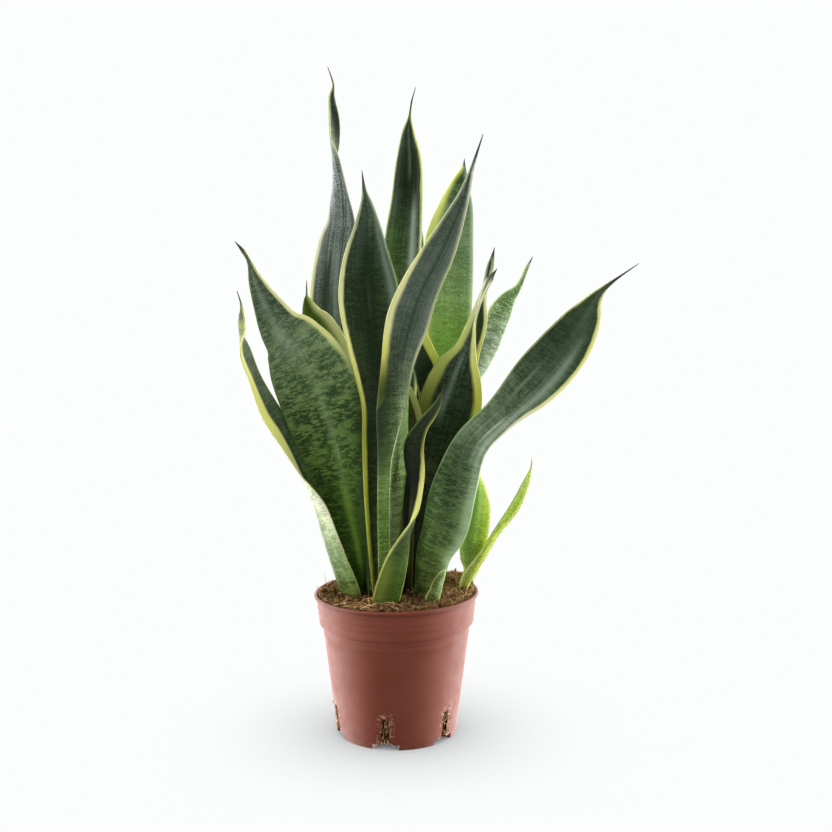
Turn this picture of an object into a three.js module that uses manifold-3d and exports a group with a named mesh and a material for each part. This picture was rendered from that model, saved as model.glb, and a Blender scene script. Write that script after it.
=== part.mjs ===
// Potted snake plant: a filled nursery pot with upright sword-shaped blades standing in the soil.
// Millimetres, +Z up, the front of the plant faces -Y.
// The origin is the middle of the pot's flat underside.
import * as THREE from 'three';
import * as BufferGeometryUtils from 'three/addons/utils/BufferGeometryUtils.js';
import Module from 'manifold-3d';

const wasm = await Module();
wasm.setup();

// Pot: outer rim 120 mm across, 104 mm tall, thin moulded wall.
const roundSegments = 48;
const wallThickness = 1.2;
const floorThickness = 1.6;
const baseRadius = 43.8;
const bodyTopRadius = 54;
const bodyTopHeight = 81.6;
const bandFootRadius = 56.4;
const bandFootHeight = 82.8;
const bandTopRadius = 58.4;
const bandTopHeight = 101.4;
const rippleHeights = [87, 92, 97];
const rippleDepth = 0.35;
const lipRadius = 60;
const potHeight = 104;

// The rim is a little out of level: it rises toward +X, and the lower half stays true.
const rimTilt = 0.018;
const tiltStart = 60;

// Drainage: each slot in the wall stands over a channel moulded up into the floor.
const drainCount = 6;
const drainFirstAngle = -99.5;
const channelHalfAngle = 12.5;
const channelStart = 24;
const channelHeight = 4;
const slotBottomWidth = 7;
const slotTopWidth = 4.5;
const slotHeight = 23.5;

// Soil: fills the pot with a small gap to it, crowned, and heaped round the young shoot.
const seatGap = 0.3;
const soilEdgeHeight = 103.6;
const soilCrown = 1.8;
const soilEdgeDrop = 1;
const soilRings = [55.4, 50, 42.5, 34, 24, 12];
const soilHeaps = [
  { x: 41, y: 15, height: 7.3, reach: 16 },
  { x: 57, y: 7, height: 3.2, reach: 10 },
  { x: -54, y: -10, height: 3.2, reach: 10 },
  { x: 4, y: 30, height: 1.5, reach: 18 },
];

// Blades: thin at the edges, thicker along the middle, less so where they are narrow.
const edgeThickness = 0.8;
const middleThickness = 2.2;
const fullThicknessWidth = 6;
const stepsPerRib = 2;
const socketGap = 0.35;
const socketTop = 120;

// Each rib of a blade is
// [x, y, z, half width, turn about the blade's own length in degrees, depth of the cupping].
// A negative turn brings the right edge forward. A negative cupping bends the edges back.
// The first rib is the foot, down in the soil, and the last is the tip.
const blades = [
  {
    name: 'leaf_far_left',
    strips: 4,
    ribs: [
      [-34, -13.5, 79, 11, -50, -4], [-36, -14, 104, 13, -50, -4],
      [-44.5, -14.5, 129.5, 13, -57, -4], [-50, -14, 146, 14, -63, -4],
      [-56, -13.5, 166, 13.5, -70, -4], [-62.5, -11, 182, 14.5, -91, -4],
      [-65.5, -10, 192, 13.5, -108, -3.5], [-75.5, -10, 213.5, 12.5, -120, -2],
      [-89.3, -15.5, 236.5, 11, -121, -1.5], [-98.8, -21, 260.5, 7.5, -117, -1],
      [-105.4, -25.5, 281.5, 8, -107, -1], [-106.5, -28, 295.5, 5.5, -60, -1],
      [-105.5, -29, 310, 1.1, -20, 0], [-108.5, -30, 322, 0.6, 0, 0],
    ],
  },
  {
    name: 'leaf_left_broad',
    strips: 4,
    ribs: [
      [-23, -9.5, 79, 9.5, -45, 4], [-24, -10, 104, 11, -45, 4], [-29, -9, 135.5, 12.5, -28, 3.5],
      [-36, -9, 165.5, 17, -16, 3], [-41.5, -9, 198.5, 21.5, -9, 3], [-47, -9, 223.5, 27, -6, 3],
      [-54, -10, 249.5, 29.5, -5, 3], [-63, -13, 271.5, 27.5, -3, 2.5],
      [-72, -15, 287, 21.5, 0, 2], [-80.5, -16, 297, 15.5, 0, 2], [-87.3, -17, 309, 11.3, 0, 2],
      [-96, -19, 327, 5.8, 0, 1], [-100.4, -22, 341, 1.9, 0, 0], [-104, -26, 348.5, 1.3, 0, 0.5],
      [-109.5, -29, 355.5, 0.6, 0, 0],
    ],
  },
  {
    name: 'leaf_back_left_tall',
    strips: 4,
    ribs: [
      [-19, 13.5, 79, 9.5, 0, -6], [-20, 14, 104, 11, 0, -6], [-34, 16.5, 168, 11, 0, -6],
      [-39.5, 20.5, 219.5, 14, 0, -5], [-45, 25, 271, 16.5, 0, -4], [-47, 29.5, 315, 17.5, 0, -4],
      [-44.5, 34, 352, 15, -5, -4], [-42, 36.5, 373.5, 10.5, -8, -4],
      [-43.5, 39.5, 396, 6, -15, -3.5], [-46, 41.5, 413, 4.5, -50, -3],
      [-47.5, 44, 430.5, 5, -120, -3], [-46.5, 46.5, 447.5, 3.9, -165, -2],
      [-48, 48.5, 463.5, 2.2, -178, -1], [-47, 50, 473.5, 0.7, -180, 0],
      [-51, 52, 486.5, 0.6, -180, 0],
    ],
  },
  {
    name: 'leaf_centre_left',
    strips: 4,
    ribs: [
      [-11.5, -13.5, 79, 9.5, 40, 8], [-12, -14, 104, 11, 40, 8], [-13, -14, 134, 12, 36, 7],
      [-13.5, -14, 175.5, 13.5, 32, 6], [-12.5, -14, 212.5, 14.5, 26, 5.5],
      [-11.5, -14, 245, 15, 20, 5], [-15.5, -14, 282, 19, 14, 5], [-18.5, -14, 316, 21.5, 8, 4],
      [-20, -13, 342, 17, 3, 3], [-19.5, -14, 364, 10, 2, 2.5], [-20, -14, 381, 4.5, 0, 1.5],
      [-21.5, -15, 391, 1.6, 0, 0], [-23, -16, 404.5, 0.6, 0, 0],
    ],
  },
  {
    name: 'leaf_left_short',
    strips: 4,
    ribs: [
      [-11.5, 2, 79, 7, 0, 4], [-12, 2, 104, 8, 0, 4], [-13.5, 3, 171, 7, 0, 4],
      [-25.5, 4, 220, 10, 0, 3], [-44, 5.5, 273.5, 12.5, 0, 3], [-54.5, 6, 295.5, 11.5, 0, 2.5],
      [-60.5, 6, 306, 7, 0, 2], [-63.5, 6.5, 315, 2.7, 0, 1], [-64, 6.5, 319.5, 0.7, 0, 0],
      [-64, 7, 329, 0.6, 0, 0],
    ],
  },
  {
    name: 'leaf_front',
    strips: 4,
    ribs: [
      [-3, -19, 79, 5, -35, 8], [-3, -20, 104, 6, -35, 8], [0, -21.5, 134.5, 6, -42, 12],
      [4, -25, 175.5, 7, -50, 16], [7.5, -28.5, 210.5, 8, -50, 19], [6, -32, 239.5, 12, -42, 15],
      [4.5, -36, 271.5, 11.5, -20, 9], [9, -40, 300.5, 14.5, -8, 5], [17, -43.5, 323.5, 13, -4, 4],
      [28.5, -46.5, 345.5, 11, -2, 3.5], [37, -49.5, 363.5, 8, 0, 3], [46, -53.5, 385, 3.7, 0, 2],
      [51.5, -56.5, 403.5, 1, 0, 1], [58, -60, 423.5, 0.6, 0, 0],
    ],
  },
  {
    name: 'leaf_front_small',
    strips: 4,
    ribs: [
      [-5.5, -38, 79, 8, 12, -4], [-6, -40, 104, 9.5, 12, -4], [-1.2, -40.5, 124.5, 9, 12, -4],
      [3.7, -42, 141, 7, 22, -3], [8, -43.5, 154.5, 4.6, 50, -1], [11.5, -44, 165, 4.6, 76, 1],
      [12.7, -44.5, 175, 6, 100, 3], [12.6, -46, 196.5, 8.5, 135, 2],
      [12.9, -48.5, 217, 7.5, 152, 0], [18, -50.5, 230, 4.6, 165, -1],
      [24.8, -51.5, 239.5, 3.4, 170, -1], [29.4, -52.5, 247.5, 2.2, 173, 0],
      [33.8, -54, 259.5, 0.6, 175, 0],
    ],
  },
  {
    name: 'leaf_back_right',
    strips: 4,
    ribs: [
      [23, 24, 81, 7.5, 0, -4], [24, 25, 106, 9, 0, -4], [30, 29.5, 165.5, 9.5, 0, -5],
      [34.5, 34.5, 218, 14, 0, -4], [37.5, 39.5, 271, 17, 0, -4], [37.5, 44, 315, 19.5, 0, -4],
      [39, 48.5, 355, 18.5, 0, -4], [44, 51.5, 382.5, 13.5, 0, -3], [47.5, 54, 402.5, 6.5, 0, -2],
      [50, 55, 412.5, 1.9, 0, 0], [50.5, 56, 420, 0.6, 0, 0],
    ],
  },
  {
    name: 'leaf_right_inner',
    strips: 4,
    ribs: [
      [8.5, 0, 79, 7.5, -8, 4], [9, 0, 104, 9, -8, 4], [14.5, -2, 134.5, 8.5, -5, 4],
      [21, -3, 171.5, 15, 0, 4], [31.5, -4, 213, 20, 0, 4], [38.5, -4, 240.5, 22.5, 0, 4],
      [43.5, -4, 264.5, 17, 0, 4], [50, -4, 283, 7, 0, 3], [57, -4, 306, 2.5, -40, 2],
      [65, -4, 326.5, 3.2, -50, 1], [71.5, -4, 337.5, 0.6, 0, 0],
    ],
  },
  {
    name: 'leaf_far_right',
    strips: 4,
    ribs: [
      [20, -21, 79, 8.5, -22, -4], [20.9, -22, 104, 9.8, -22, -4], [25.5, -23, 134.5, 12.5, -15, -5],
      [34, -23.5, 155, 16, -12, -5], [40, -25, 181.5, 16, -10, -5], [52, -26.5, 214, 12.5, -8, -5],
      [73, -27.5, 236, 12, -5, -4.5], [97.5, -29, 260, 18, 0, -4],
      [116.5, -30.5, 282.5, 17.5, 0, -2], [129, -31.5, 302, 12.5, 0, -1],
      [137.5, -32.5, 317.5, 4.5, 0, 0], [147, -33, 327, 1.3, 0, 0], [166, -34, 340.5, 0.6, 0, 0],
    ],
  },
  {
    name: 'leaf_inner_leaning',
    strips: 4,
    ribs: [
      [23, 7.5, 79, 6, 0, 4], [24, 8, 104, 7, 0, 4], [39, 4, 170.5, 7, 0, 4],
      [34, 3, 216, 9.5, 0, 4], [26, 2, 255, 11, 0, 3], [17.5, 1, 282, 8.5, 0, 2],
      [13, 0, 302.5, 2.7, 0, 1], [11.5, 0, 315.5, 0.6, 0, 0],
    ],
  },
  {
    name: 'leaf_inner_low',
    strips: 2,
    ribs: [
      [7, -9.5, 79, 3, 0, 2], [7.5, -10, 104, 3.5, 0, 2], [8.5, -13, 173.5, 5.5, 0, 3],
      [11.5, -14, 218, 8.5, 0, 3], [8.5, -15, 243, 7, 0, 2], [4.5, -16, 261, 3, 0, 1],
      [3.5, -17, 276.5, 0.6, 0, 0],
    ],
  },
  {
    name: 'leaf_back_tall',
    strips: 4,
    ribs: [
      [0, 19, 79, 9.5, 0, -4], [0, 20, 104, 11, 0, -4], [-1.5, 23, 167, 10.5, 0, -4],
      [0, 27.5, 226, 13.5, 0, -4], [1, 33.5, 285.5, 15, 0, -4], [2, 38, 325, 15, 0, -4],
      [5, 42.5, 363, 13.5, 0, -4], [7.5, 46, 389, 11.5, 0, -4], [9, 50, 417, 9.5, 0, -3],
      [8.5, 53, 437.5, 5, 0, -2], [9.5, 54.5, 449.5, 1.3, 0, 0], [11, 56.5, 461.5, 0.6, 0, 0],
      [14, 58, 472.5, 0.6, 0, 0],
    ],
  },
  {
    name: 'leaf_back_sliver',
    strips: 2,
    ribs: [
      [5.5, 34, 81, 4, 0, 3], [6, 36, 106, 5, 0, 3], [10.5, 42, 178.5, 7, 0, 3],
      [13, 48, 239, 7.5, 0, 3], [14.5, 54, 299.5, 8, 0, 2], [15.5, 58.5, 343.5, 5.5, 0, 2],
      [17, 60.5, 361.5, 2.8, 0, 1], [17.5, 62, 373.5, 0.6, 0, 0],
    ],
  },
  {
    name: 'leaf_right_pale',
    strips: 2,
    ribs: [
      [31.5, 19, 84, 3.8, 0, -2], [33, 20, 109, 4.5, 0, -2], [34, 20, 131, 4, 0, -2],
      [37.5, 20.5, 167, 5, 0, -3], [43, 22, 204.5, 5.5, 0, -4], [49, 23, 234, 6.5, 0, -4],
      [55, 24, 256, 6.5, 0, -4], [62.5, 25, 272, 8, 0, -4], [68, 25.5, 284, 8.5, 0, -4],
      [72.5, 26.5, 296.5, 8.5, 0, -3.5], [77, 27, 307.5, 8, 0, -3],
      [82.5, 27.5, 316.5, 5.5, 0, -2], [88.5, 28, 323, 2.7, 0, -1], [92.3, 28.5, 330, 1.7, 0, 0], [96, 29.3, 339, 1.3, 0, 0],
      [100, 30, 346.5, 0.6, 0, 0],
    ],
  },
  {
    name: 'leaf_right_narrow',
    strips: 2,
    ribs: [
      [27.5, 13.5, 81, 5, 0, 3], [29, 14, 106, 6, 0, 3], [30.5, 14.5, 152.5, 6, 0, 3],
      [41.5, 14.5, 196.5, 7, 0, 3], [49, 15, 241.5, 6.5, 0, 3], [54.5, 15.5, 275, 5.5, 0, 3],
      [60, 15.5, 297, 5.5, 0, 3], [63.5, 15.5, 320, 2.1, 0, 1.5], [68, 16, 339, 2.4, 0, 1],
      [71, 16, 353, 0.6, 0, 0],
    ],
  },
  {
    name: 'pup_leaf_broad',
    young: true,
    strips: 4,
    ribs: [
      [43, 6, 83, 3, 0, 4], [50.5, 7, 108, 3, 0, 4], [53.5, 8, 118, 4.2, 0, 5],
      [55, 8.5, 126, 8, 0, 5.5], [56.8, 9, 139, 10, 0, 6], [61, 10, 159.5, 8.5, 0, 5],
      [62, 11, 174.5, 5.5, 0, 3], [61.5, 12, 190.5, 0.6, 0, 0],
    ],
  },
  {
    name: 'pup_leaf_narrow',
    young: true,
    strips: 2,
    ribs: [
      [42, -2.5, 82, 2.5, 0, 3], [48.5, -3, 107, 3, 0, 3], [52, -4, 117, 3.9, 0, 4],
      [62, -5.5, 132, 3, 0, 5], [72.5, -8, 150, 2.6, 0, 4], [84.5, -10.5, 167.5, 3.7, 0, 3.5],
      [92.5, -13, 185.5, 2.5, 0, 2], [96, -14.5, 196.5, 0.7, 0, 0], [96.5, -16, 204.5, 0.6, 0, 0],
    ],
  },
  {
    name: 'pup_leaf_outer',
    young: true,
    strips: 2,
    ribs: [
      [41, 8, 79, 2, 0, -2], [47, 9, 104, 2.4, 0, -2], [55.5, 10.5, 111, 2.8, 0, -2.5],
      [61.5, 12.5, 122.5, 3.2, 0, -2.5], [65.5, 14, 131, 2.3, 0, -2], [69, 16, 141, 0.6, 0, 0],
    ],
  },
  {
    name: 'basal_scale',
    young: true,
    strips: 2,
    ribs: [
      [24, -31, 78, 4.5, -10, -2.5], [25, -35, 103, 5, -10, -2.5],
      [27.6, -34, 112.4, 3.9, -10, -2.5], [29.8, -32.5, 118.4, 3.3, -10, -2],
      [32.6, -31, 123.5, 2.2, -10, -1.2], [35.2, -30, 128, 0.6, 0, 0],
    ],
  },
];

// Closed solid from a list of points and triangles.
function solidFromMesh(points, triangles) {
  return new wasm.Manifold(new wasm.Mesh({
    numProp: 3,
    vertProperties: new Float32Array(points.flat()),
    triVerts: new Uint32Array(triangles.flat()),
  }));
}

// Round solid: rows of points at a radius and a height, closed by a point at each end of the axis.
// A row's height is a number, or a function of x and y.
function roundSolid(rows) {
  const heightAt = (row, x, y) => (typeof row.height === 'function' ? row.height(x, y) : row.height);
  const points = [[0, 0, heightAt(rows[0], 0, 0)]];
  const triangles = [];
  const middleRows = rows.slice(1, -1);
  for (const row of middleRows) {
    for (let i = 0; i < roundSegments; i += 1) {
      const angle = (2 * Math.PI * i) / roundSegments;
      const x = row.radius * Math.cos(angle);
      const y = row.radius * Math.sin(angle);
      points.push([x, y, heightAt(row, x, y)]);
    }
  }
  const top = points.length;
  points.push([0, 0, heightAt(rows[rows.length - 1], 0, 0)]);
  for (let i = 0; i < roundSegments; i += 1) {
    const next = (i + 1) % roundSegments;
    triangles.push([0, 1 + next, 1 + i]);
    for (let j = 0; j < middleRows.length - 1; j += 1) {
      const low = 1 + j * roundSegments;
      const high = low + roundSegments;
      triangles.push([low + i, low + next, high + next]);
      triangles.push([low + i, high + next, high + i]);
    }
    const last = 1 + (middleRows.length - 1) * roundSegments;
    triangles.push([last + i, last + next, top]);
  }
  return solidFromMesh(points, triangles);
}

// Upright block that follows a sector of a ring, centred on an angle in degrees.
function sectorBlock(angle, halfAngle, innerRadius, outerRadius, bottom, top) {
  const corners = [];
  for (const step of [-1, -0.5, 0, 0.5, 1]) {
    corners.push([outerRadius, angle + halfAngle * step]);
  }
  for (const step of [1, 0, -1]) {
    corners.push([innerRadius, angle + halfAngle * step]);
  }
  const outline = corners.map(([radius, degrees]) => new THREE.Vector2(
    radius * Math.cos(THREE.MathUtils.degToRad(degrees)),
    radius * Math.sin(THREE.MathUtils.degToRad(degrees)),
  ));
  const block = new THREE.ExtrudeGeometry(new THREE.Shape(outline), {
    depth: top - bottom,
    bevelEnabled: false,
  });
  block.translate(0, 0, bottom);
  return solidFromGeometry(block);
}

// Round-topped slot cutter through the wall at an angle in degrees.
function slotCutter(angle) {
  const outline = new THREE.Shape();
  const archRadius = slotTopWidth / 2;
  const archCentre = slotHeight - archRadius;
  outline.moveTo(-slotBottomWidth / 2, -1);
  outline.lineTo(slotBottomWidth / 2, -1);
  outline.lineTo(archRadius, archCentre);
  outline.absarc(0, archCentre, archRadius, 0, Math.PI, false);
  outline.lineTo(-slotBottomWidth / 2, -1);
  const innerReach = 41;
  const outerReach = 52;
  const cutter = new THREE.ExtrudeGeometry(outline, {
    depth: outerReach - innerReach,
    bevelEnabled: false,
    curveSegments: 6,
  });
  cutter.rotateX(Math.PI / 2);
  cutter.translate(0, outerReach, 0);
  cutter.rotateZ(THREE.MathUtils.degToRad(angle - 90));
  return solidFromGeometry(cutter);
}

// Closed solid from a geometry, with its doubled points joined.
function solidFromGeometry(geometry) {
  const bare = geometry.clone();
  bare.deleteAttribute('normal');
  bare.deleteAttribute('uv');
  const joined = BufferGeometryUtils.mergeVertices(bare, 1e-4);
  return new wasm.Manifold(new wasm.Mesh({
    numProp: 3,
    vertProperties: new Float32Array(joined.attributes.position.array),
    triVerts: new Uint32Array(joined.index.array),
  }));
}

// Raises the points above tiltStart toward +X, so that the rim leans out of level.
function tiltRim(points) {
  for (let i = 0; i < points.length; i += 3) {
    const share = THREE.MathUtils.clamp((points[i + 2] - tiltStart) / (potHeight - tiltStart), 0, 1);
    points[i + 2] += rimTilt * points[i] * share;
  }
  return points;
}

function tiltSolid(solid) {
  const mesh = solid.getMesh();
  return new wasm.Manifold(new wasm.Mesh({
    numProp: 3,
    vertProperties: tiltRim(new Float32Array(mesh.vertProperties)),
    triVerts: new Uint32Array(mesh.triVerts),
  }));
}

// Flat-shaded geometry of a solid.
function geometryFromSolid(solid) {
  const mesh = solid.getMesh();
  const indexed = new THREE.BufferGeometry();
  indexed.setAttribute('position', new THREE.BufferAttribute(new Float32Array(mesh.vertProperties), 3));
  indexed.setIndex(new THREE.BufferAttribute(new Uint32Array(mesh.triVerts), 1));
  const geometry = indexed.toNonIndexed();
  geometry.computeVertexNormals();
  return geometry;
}

const drainAngles = Array.from({ length: drainCount }, (_, i) => drainFirstAngle + (360 / drainCount) * i);

// Radius of the pot's body wall at a height below the rim band.
function bodyRadius(height) {
  return baseRadius + ((bodyTopRadius - baseRadius) * height) / bodyTopHeight;
}

function potOuterRows() {
  const rows = [
    { radius: 0, height: 0 },
    { radius: baseRadius - 0.5, height: 0 },
    { radius: bodyRadius(0.6), height: 0.6 },
    { radius: bodyTopRadius, height: bodyTopHeight },
    { radius: bandFootRadius, height: bandFootHeight },
  ];
  const bandRadius = (height) => THREE.MathUtils.mapLinear(
    height, bandFootHeight, bandTopHeight, bandFootRadius, bandTopRadius);
  for (const height of rippleHeights) {
    rows.push({ radius: bandRadius(height - 1.4), height: height - 1.4 });
    rows.push({ radius: bandRadius(height) - rippleDepth, height });
    rows.push({ radius: bandRadius(height + 1.4), height: height + 1.4 });
  }
  rows.push({ radius: bandTopRadius, height: bandTopHeight });
  rows.push({ radius: lipRadius - 0.3, height: bandTopHeight + 0.3 });
  rows.push({ radius: lipRadius, height: bandTopHeight + 1.2 });
  rows.push({ radius: lipRadius - 0.2, height: potHeight - 0.4 });
  rows.push({ radius: lipRadius - 0.8, height: potHeight });
  rows.push({ radius: 0, height: potHeight });
  return rows;
}

// Side of the space inside the pot, from the floor to the rim.
// Grown by a gap it bounds the pot's hollow, drawn in by one it bounds the soil.
function insideRows(gap) {
  return [
    { radius: bodyRadius(floorThickness) - wallThickness - gap - 0.6, height: floorThickness + gap },
    { radius: bodyRadius(3) - wallThickness - gap, height: 3 + gap },
    { radius: bodyTopRadius - wallThickness + 0.1 - gap, height: bodyTopHeight + 1 + gap },
    { radius: bandFootRadius - wallThickness - gap, height: bandFootHeight + 1.6 + gap },
    { radius: bandTopRadius - wallThickness - gap, height: bandTopHeight },
  ];
}

function makePot() {
  const mouthRadius = bandTopRadius - wallThickness;
  const outside = roundSolid(potOuterRows());
  const hollow = roundSolid([
    { radius: 0, height: floorThickness },
    ...insideRows(0),
    { radius: mouthRadius + 0.3, height: potHeight - 0.6 },
    { radius: mouthRadius + 0.9, height: potHeight + 0.6 },
    { radius: 0, height: potHeight + 0.6 },
  ]);
  let ridges = null;
  let cuts = null;
  for (const angle of drainAngles) {
    const ridge = sectorBlock(angle, channelHalfAngle + 2.5, channelStart - wallThickness,
      baseRadius + 2, -1, channelHeight + floorThickness);
    const cut = sectorBlock(angle, channelHalfAngle, channelStart, baseRadius + 8, -1, channelHeight)
      .add(slotCutter(angle));
    ridges = ridges ? ridges.add(ridge) : ridge;
    cuts = cuts ? cuts.add(cut) : cut;
  }
  return tiltSolid(outside.subtract(hollow.subtract(ridges)).subtract(cuts));
}

// Height of the soil's surface before the rim's tilt.
function soilHeight(x, y) {
  const radius = Math.hypot(x, y);
  const inward = Math.min(radius / bandTopRadius, 1);
  let height = soilEdgeHeight + soilCrown * (1 - inward * inward);
  for (const heap of soilHeaps) {
    const spread = ((x - heap.x) ** 2 + (y - heap.y) ** 2) / (heap.reach * heap.reach);
    height += heap.height * Math.exp(-spread);
  }
  return height;
}

function makeSoil(sockets) {
  const side = insideRows(seatGap);
  const brim = side[side.length - 1].radius;
  const body = roundSolid([
    { radius: 0, height: side[0].height },
    ...side,
    { radius: brim, height: (x, y) => soilHeight(x, y) - soilEdgeDrop },
    ...soilRings.map((radius) => ({ radius, height: soilHeight })),
    { radius: 0, height: soilHeight },
  ]);
  let filled = body;
  for (const angle of drainAngles) {
    filled = filled.subtract(sectorBlock(angle, channelHalfAngle + 3.5,
      channelStart - wallThickness - seatGap, baseRadius + 8, -1,
      channelHeight + floorThickness + seatGap));
  }
  let soil = tiltSolid(filled);
  for (const socket of sockets) {
    soil = soil.subtract(socket);
  }
  return soil;
}

// Smooth curve through a blade's ribs: all six numbers and the direction of its length.
function bladeStations(ribs) {
  const stations = [];
  for (let i = 0; i < ribs.length - 1; i += 1) {
    const before = ribs[Math.max(i - 1, 0)];
    const from = ribs[i];
    const to = ribs[i + 1];
    const after = ribs[Math.min(i + 2, ribs.length - 1)];
    const steps = i === ribs.length - 2 ? stepsPerRib + 1 : stepsPerRib;
    for (let k = 0; k < steps; k += 1) {
      const t = k / stepsPerRib;
      const values = [];
      const slopes = [];
      for (let n = 0; n < 6; n += 1) {
        const leave = i > 0 ? (to[n] - before[n]) / 2 : to[n] - from[n];
        const arrive = i < ribs.length - 2 ? (after[n] - from[n]) / 2 : to[n] - from[n];
        values.push(
          (2 * t ** 3 - 3 * t ** 2 + 1) * from[n] + (t ** 3 - 2 * t ** 2 + t) * leave
          + (3 * t ** 2 - 2 * t ** 3) * to[n] + (t ** 3 - t ** 2) * arrive,
        );
        slopes.push(
          (6 * t ** 2 - 6 * t) * (from[n] - to[n]) + (3 * t ** 2 - 4 * t + 1) * leave
          + (3 * t ** 2 - 2 * t) * arrive,
        );
      }
      const along = new THREE.Vector3(slopes[0], slopes[1], slopes[2]).normalize();
      const across = new THREE.Vector3().crossVectors(along, new THREE.Vector3(0, -1, 0)).normalize();
      const face = new THREE.Vector3().crossVectors(across, along);
      const turn = THREE.MathUtils.degToRad(values[4]);
      stations.push({
        middle: new THREE.Vector3(values[0], values[1], values[2]),
        along,
        right: across.clone().multiplyScalar(Math.cos(turn)).addScaledVector(face, -Math.sin(turn)),
        front: face.clone().multiplyScalar(Math.cos(turn)).addScaledVector(across, Math.sin(turn)),
        halfWidth: values[3],
        cup: values[5],
      });
    }
  }
  return stations;
}

// The two faces of a blade at one station, as points from the left edge to the right edge.
function bladeSection(station, strips, gap) {
  const halfWidth = station.halfWidth + gap;
  const cup = station.cup * (halfWidth / station.halfWidth) ** 2;
  const fullness = Math.min(station.halfWidth / fullThicknessWidth, 1);
  const swell = (middleThickness - edgeThickness) * fullness;
  const fronts = [];
  const backs = [];
  for (let j = 0; j <= strips; j += 1) {
    const u = (2 * j) / strips - 1;
    const half = (edgeThickness + swell * (1 - u * u)) / 2 + gap;
    const slope = (2 * cup * u) / halfWidth;
    const length = Math.hypot(1, slope);
    const sideways = (-slope / length) * half;
    const outward = (1 / length) * half;
    const centre = station.middle.clone()
      .addScaledVector(station.right, halfWidth * u)
      .addScaledVector(station.front, cup * u * u);
    fronts.push(centre.clone().addScaledVector(station.right, sideways).addScaledVector(station.front, outward));
    backs.push(centre.clone().addScaledVector(station.right, -sideways).addScaledVector(station.front, -outward));
  }
  return { fronts, backs };
}

// Closed skin round a run of stations. Both faces are split along the same diagonals.
function bladeMesh(stations, strips, gap) {
  const width = strips + 1;
  const points = [];
  const triangles = [];
  for (const station of stations) {
    const { fronts, backs } = bladeSection(station, strips, gap);
    for (const point of [...fronts, ...backs]) {
      points.push([point.x, point.y, point.z]);
    }
  }
  const front = (i, j) => i * 2 * width + j;
  const back = (i, j) => i * 2 * width + width + j;
  const last = stations.length - 1;
  for (let i = 0; i < last; i += 1) {
    for (let j = 0; j < strips; j += 1) {
      triangles.push([front(i, j), front(i, j + 1), front(i + 1, j + 1)]);
      triangles.push([front(i, j), front(i + 1, j + 1), front(i + 1, j)]);
      triangles.push([back(i, j), back(i + 1, j + 1), back(i, j + 1)]);
      triangles.push([back(i, j), back(i + 1, j), back(i + 1, j + 1)]);
    }
    triangles.push([front(i, strips), back(i, strips), back(i + 1, strips)]);
    triangles.push([front(i, strips), back(i + 1, strips), front(i + 1, strips)]);
    triangles.push([back(i, 0), front(i, 0), front(i + 1, 0)]);
    triangles.push([back(i, 0), front(i + 1, 0), back(i + 1, 0)]);
  }
  for (let j = 0; j < strips; j += 1) {
    triangles.push([front(0, j), back(0, j), back(0, j + 1)]);
    triangles.push([front(0, j), back(0, j + 1), front(0, j + 1)]);
    triangles.push([front(last, j), back(last, j + 1), back(last, j)]);
    triangles.push([front(last, j), front(last, j + 1), back(last, j + 1)]);
  }
  return { points, triangles };
}

function makeBlade(blade) {
  const { points, triangles } = bladeMesh(bladeStations(blade.ribs), blade.strips, 0);
  return geometryFromSolid(solidFromMesh(points, triangles));
}

// Plain hole in the soil for a blade's foot: the same shape, grown by the gap and a little deeper.
function makeSocket(blade) {
  const all = bladeStations(blade.ribs);
  const clear = all.findIndex((station) => station.middle.z > socketTop);
  const stations = clear < 0 ? all : all.slice(0, clear + 1);
  stations[0].middle.addScaledVector(stations[0].along, -socketGap);
  const { points, triangles } = bladeMesh(stations, blade.strips, socketGap);
  return solidFromMesh(points, triangles);
}

const materials = {
  pot: new THREE.MeshStandardMaterial({ name: 'terracotta_plastic', color: 0x8a4a3a, roughness: 0.5 }),
  soil: new THREE.MeshStandardMaterial({ name: 'soil', color: 0x5a412a, roughness: 1 }),
  leaf: new THREE.MeshStandardMaterial({ name: 'leaf', color: 0x33502f, roughness: 0.45 }),
  youngLeaf: new THREE.MeshStandardMaterial({ name: 'young_leaf', color: 0x7fa83a, roughness: 0.5 }),
};

const plant = new THREE.Group();
plant.name = 'potted_snake_plant';

function addNode(name, geometry, material) {
  const mesh = new THREE.Mesh(geometry, material);
  mesh.name = name;
  plant.add(mesh);
}

addNode('pot', geometryFromSolid(makePot()), materials.pot);
addNode('soil', geometryFromSolid(makeSoil(blades.map(makeSocket))), materials.soil);
for (const blade of blades) {
  addNode(blade.name, makeBlade(blade), blade.young ? materials.youngLeaf : materials.leaf);
}

export default plant;
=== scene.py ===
# Potted snake plant: finished look of the pot, the soil and the blades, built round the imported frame.
# Lengths in the dictionaries are millimetres, and colours are tones from 0 to 255 as they look under
# the studio light, unless a note says otherwise.
import math
import random

import bpy
import numpy as np
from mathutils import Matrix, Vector, noise


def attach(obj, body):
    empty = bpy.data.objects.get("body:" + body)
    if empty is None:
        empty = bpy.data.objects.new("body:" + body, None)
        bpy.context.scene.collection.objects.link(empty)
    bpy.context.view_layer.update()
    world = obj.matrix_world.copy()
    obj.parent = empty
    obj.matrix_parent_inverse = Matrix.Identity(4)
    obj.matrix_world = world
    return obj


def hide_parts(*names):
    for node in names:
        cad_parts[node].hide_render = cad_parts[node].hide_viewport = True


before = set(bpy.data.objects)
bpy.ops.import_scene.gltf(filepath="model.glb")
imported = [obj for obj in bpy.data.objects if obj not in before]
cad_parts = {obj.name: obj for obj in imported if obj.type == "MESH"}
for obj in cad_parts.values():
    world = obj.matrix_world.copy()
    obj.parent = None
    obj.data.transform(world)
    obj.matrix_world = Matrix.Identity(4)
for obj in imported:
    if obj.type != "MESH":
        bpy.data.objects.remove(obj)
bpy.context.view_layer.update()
mm = 0.001


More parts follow.
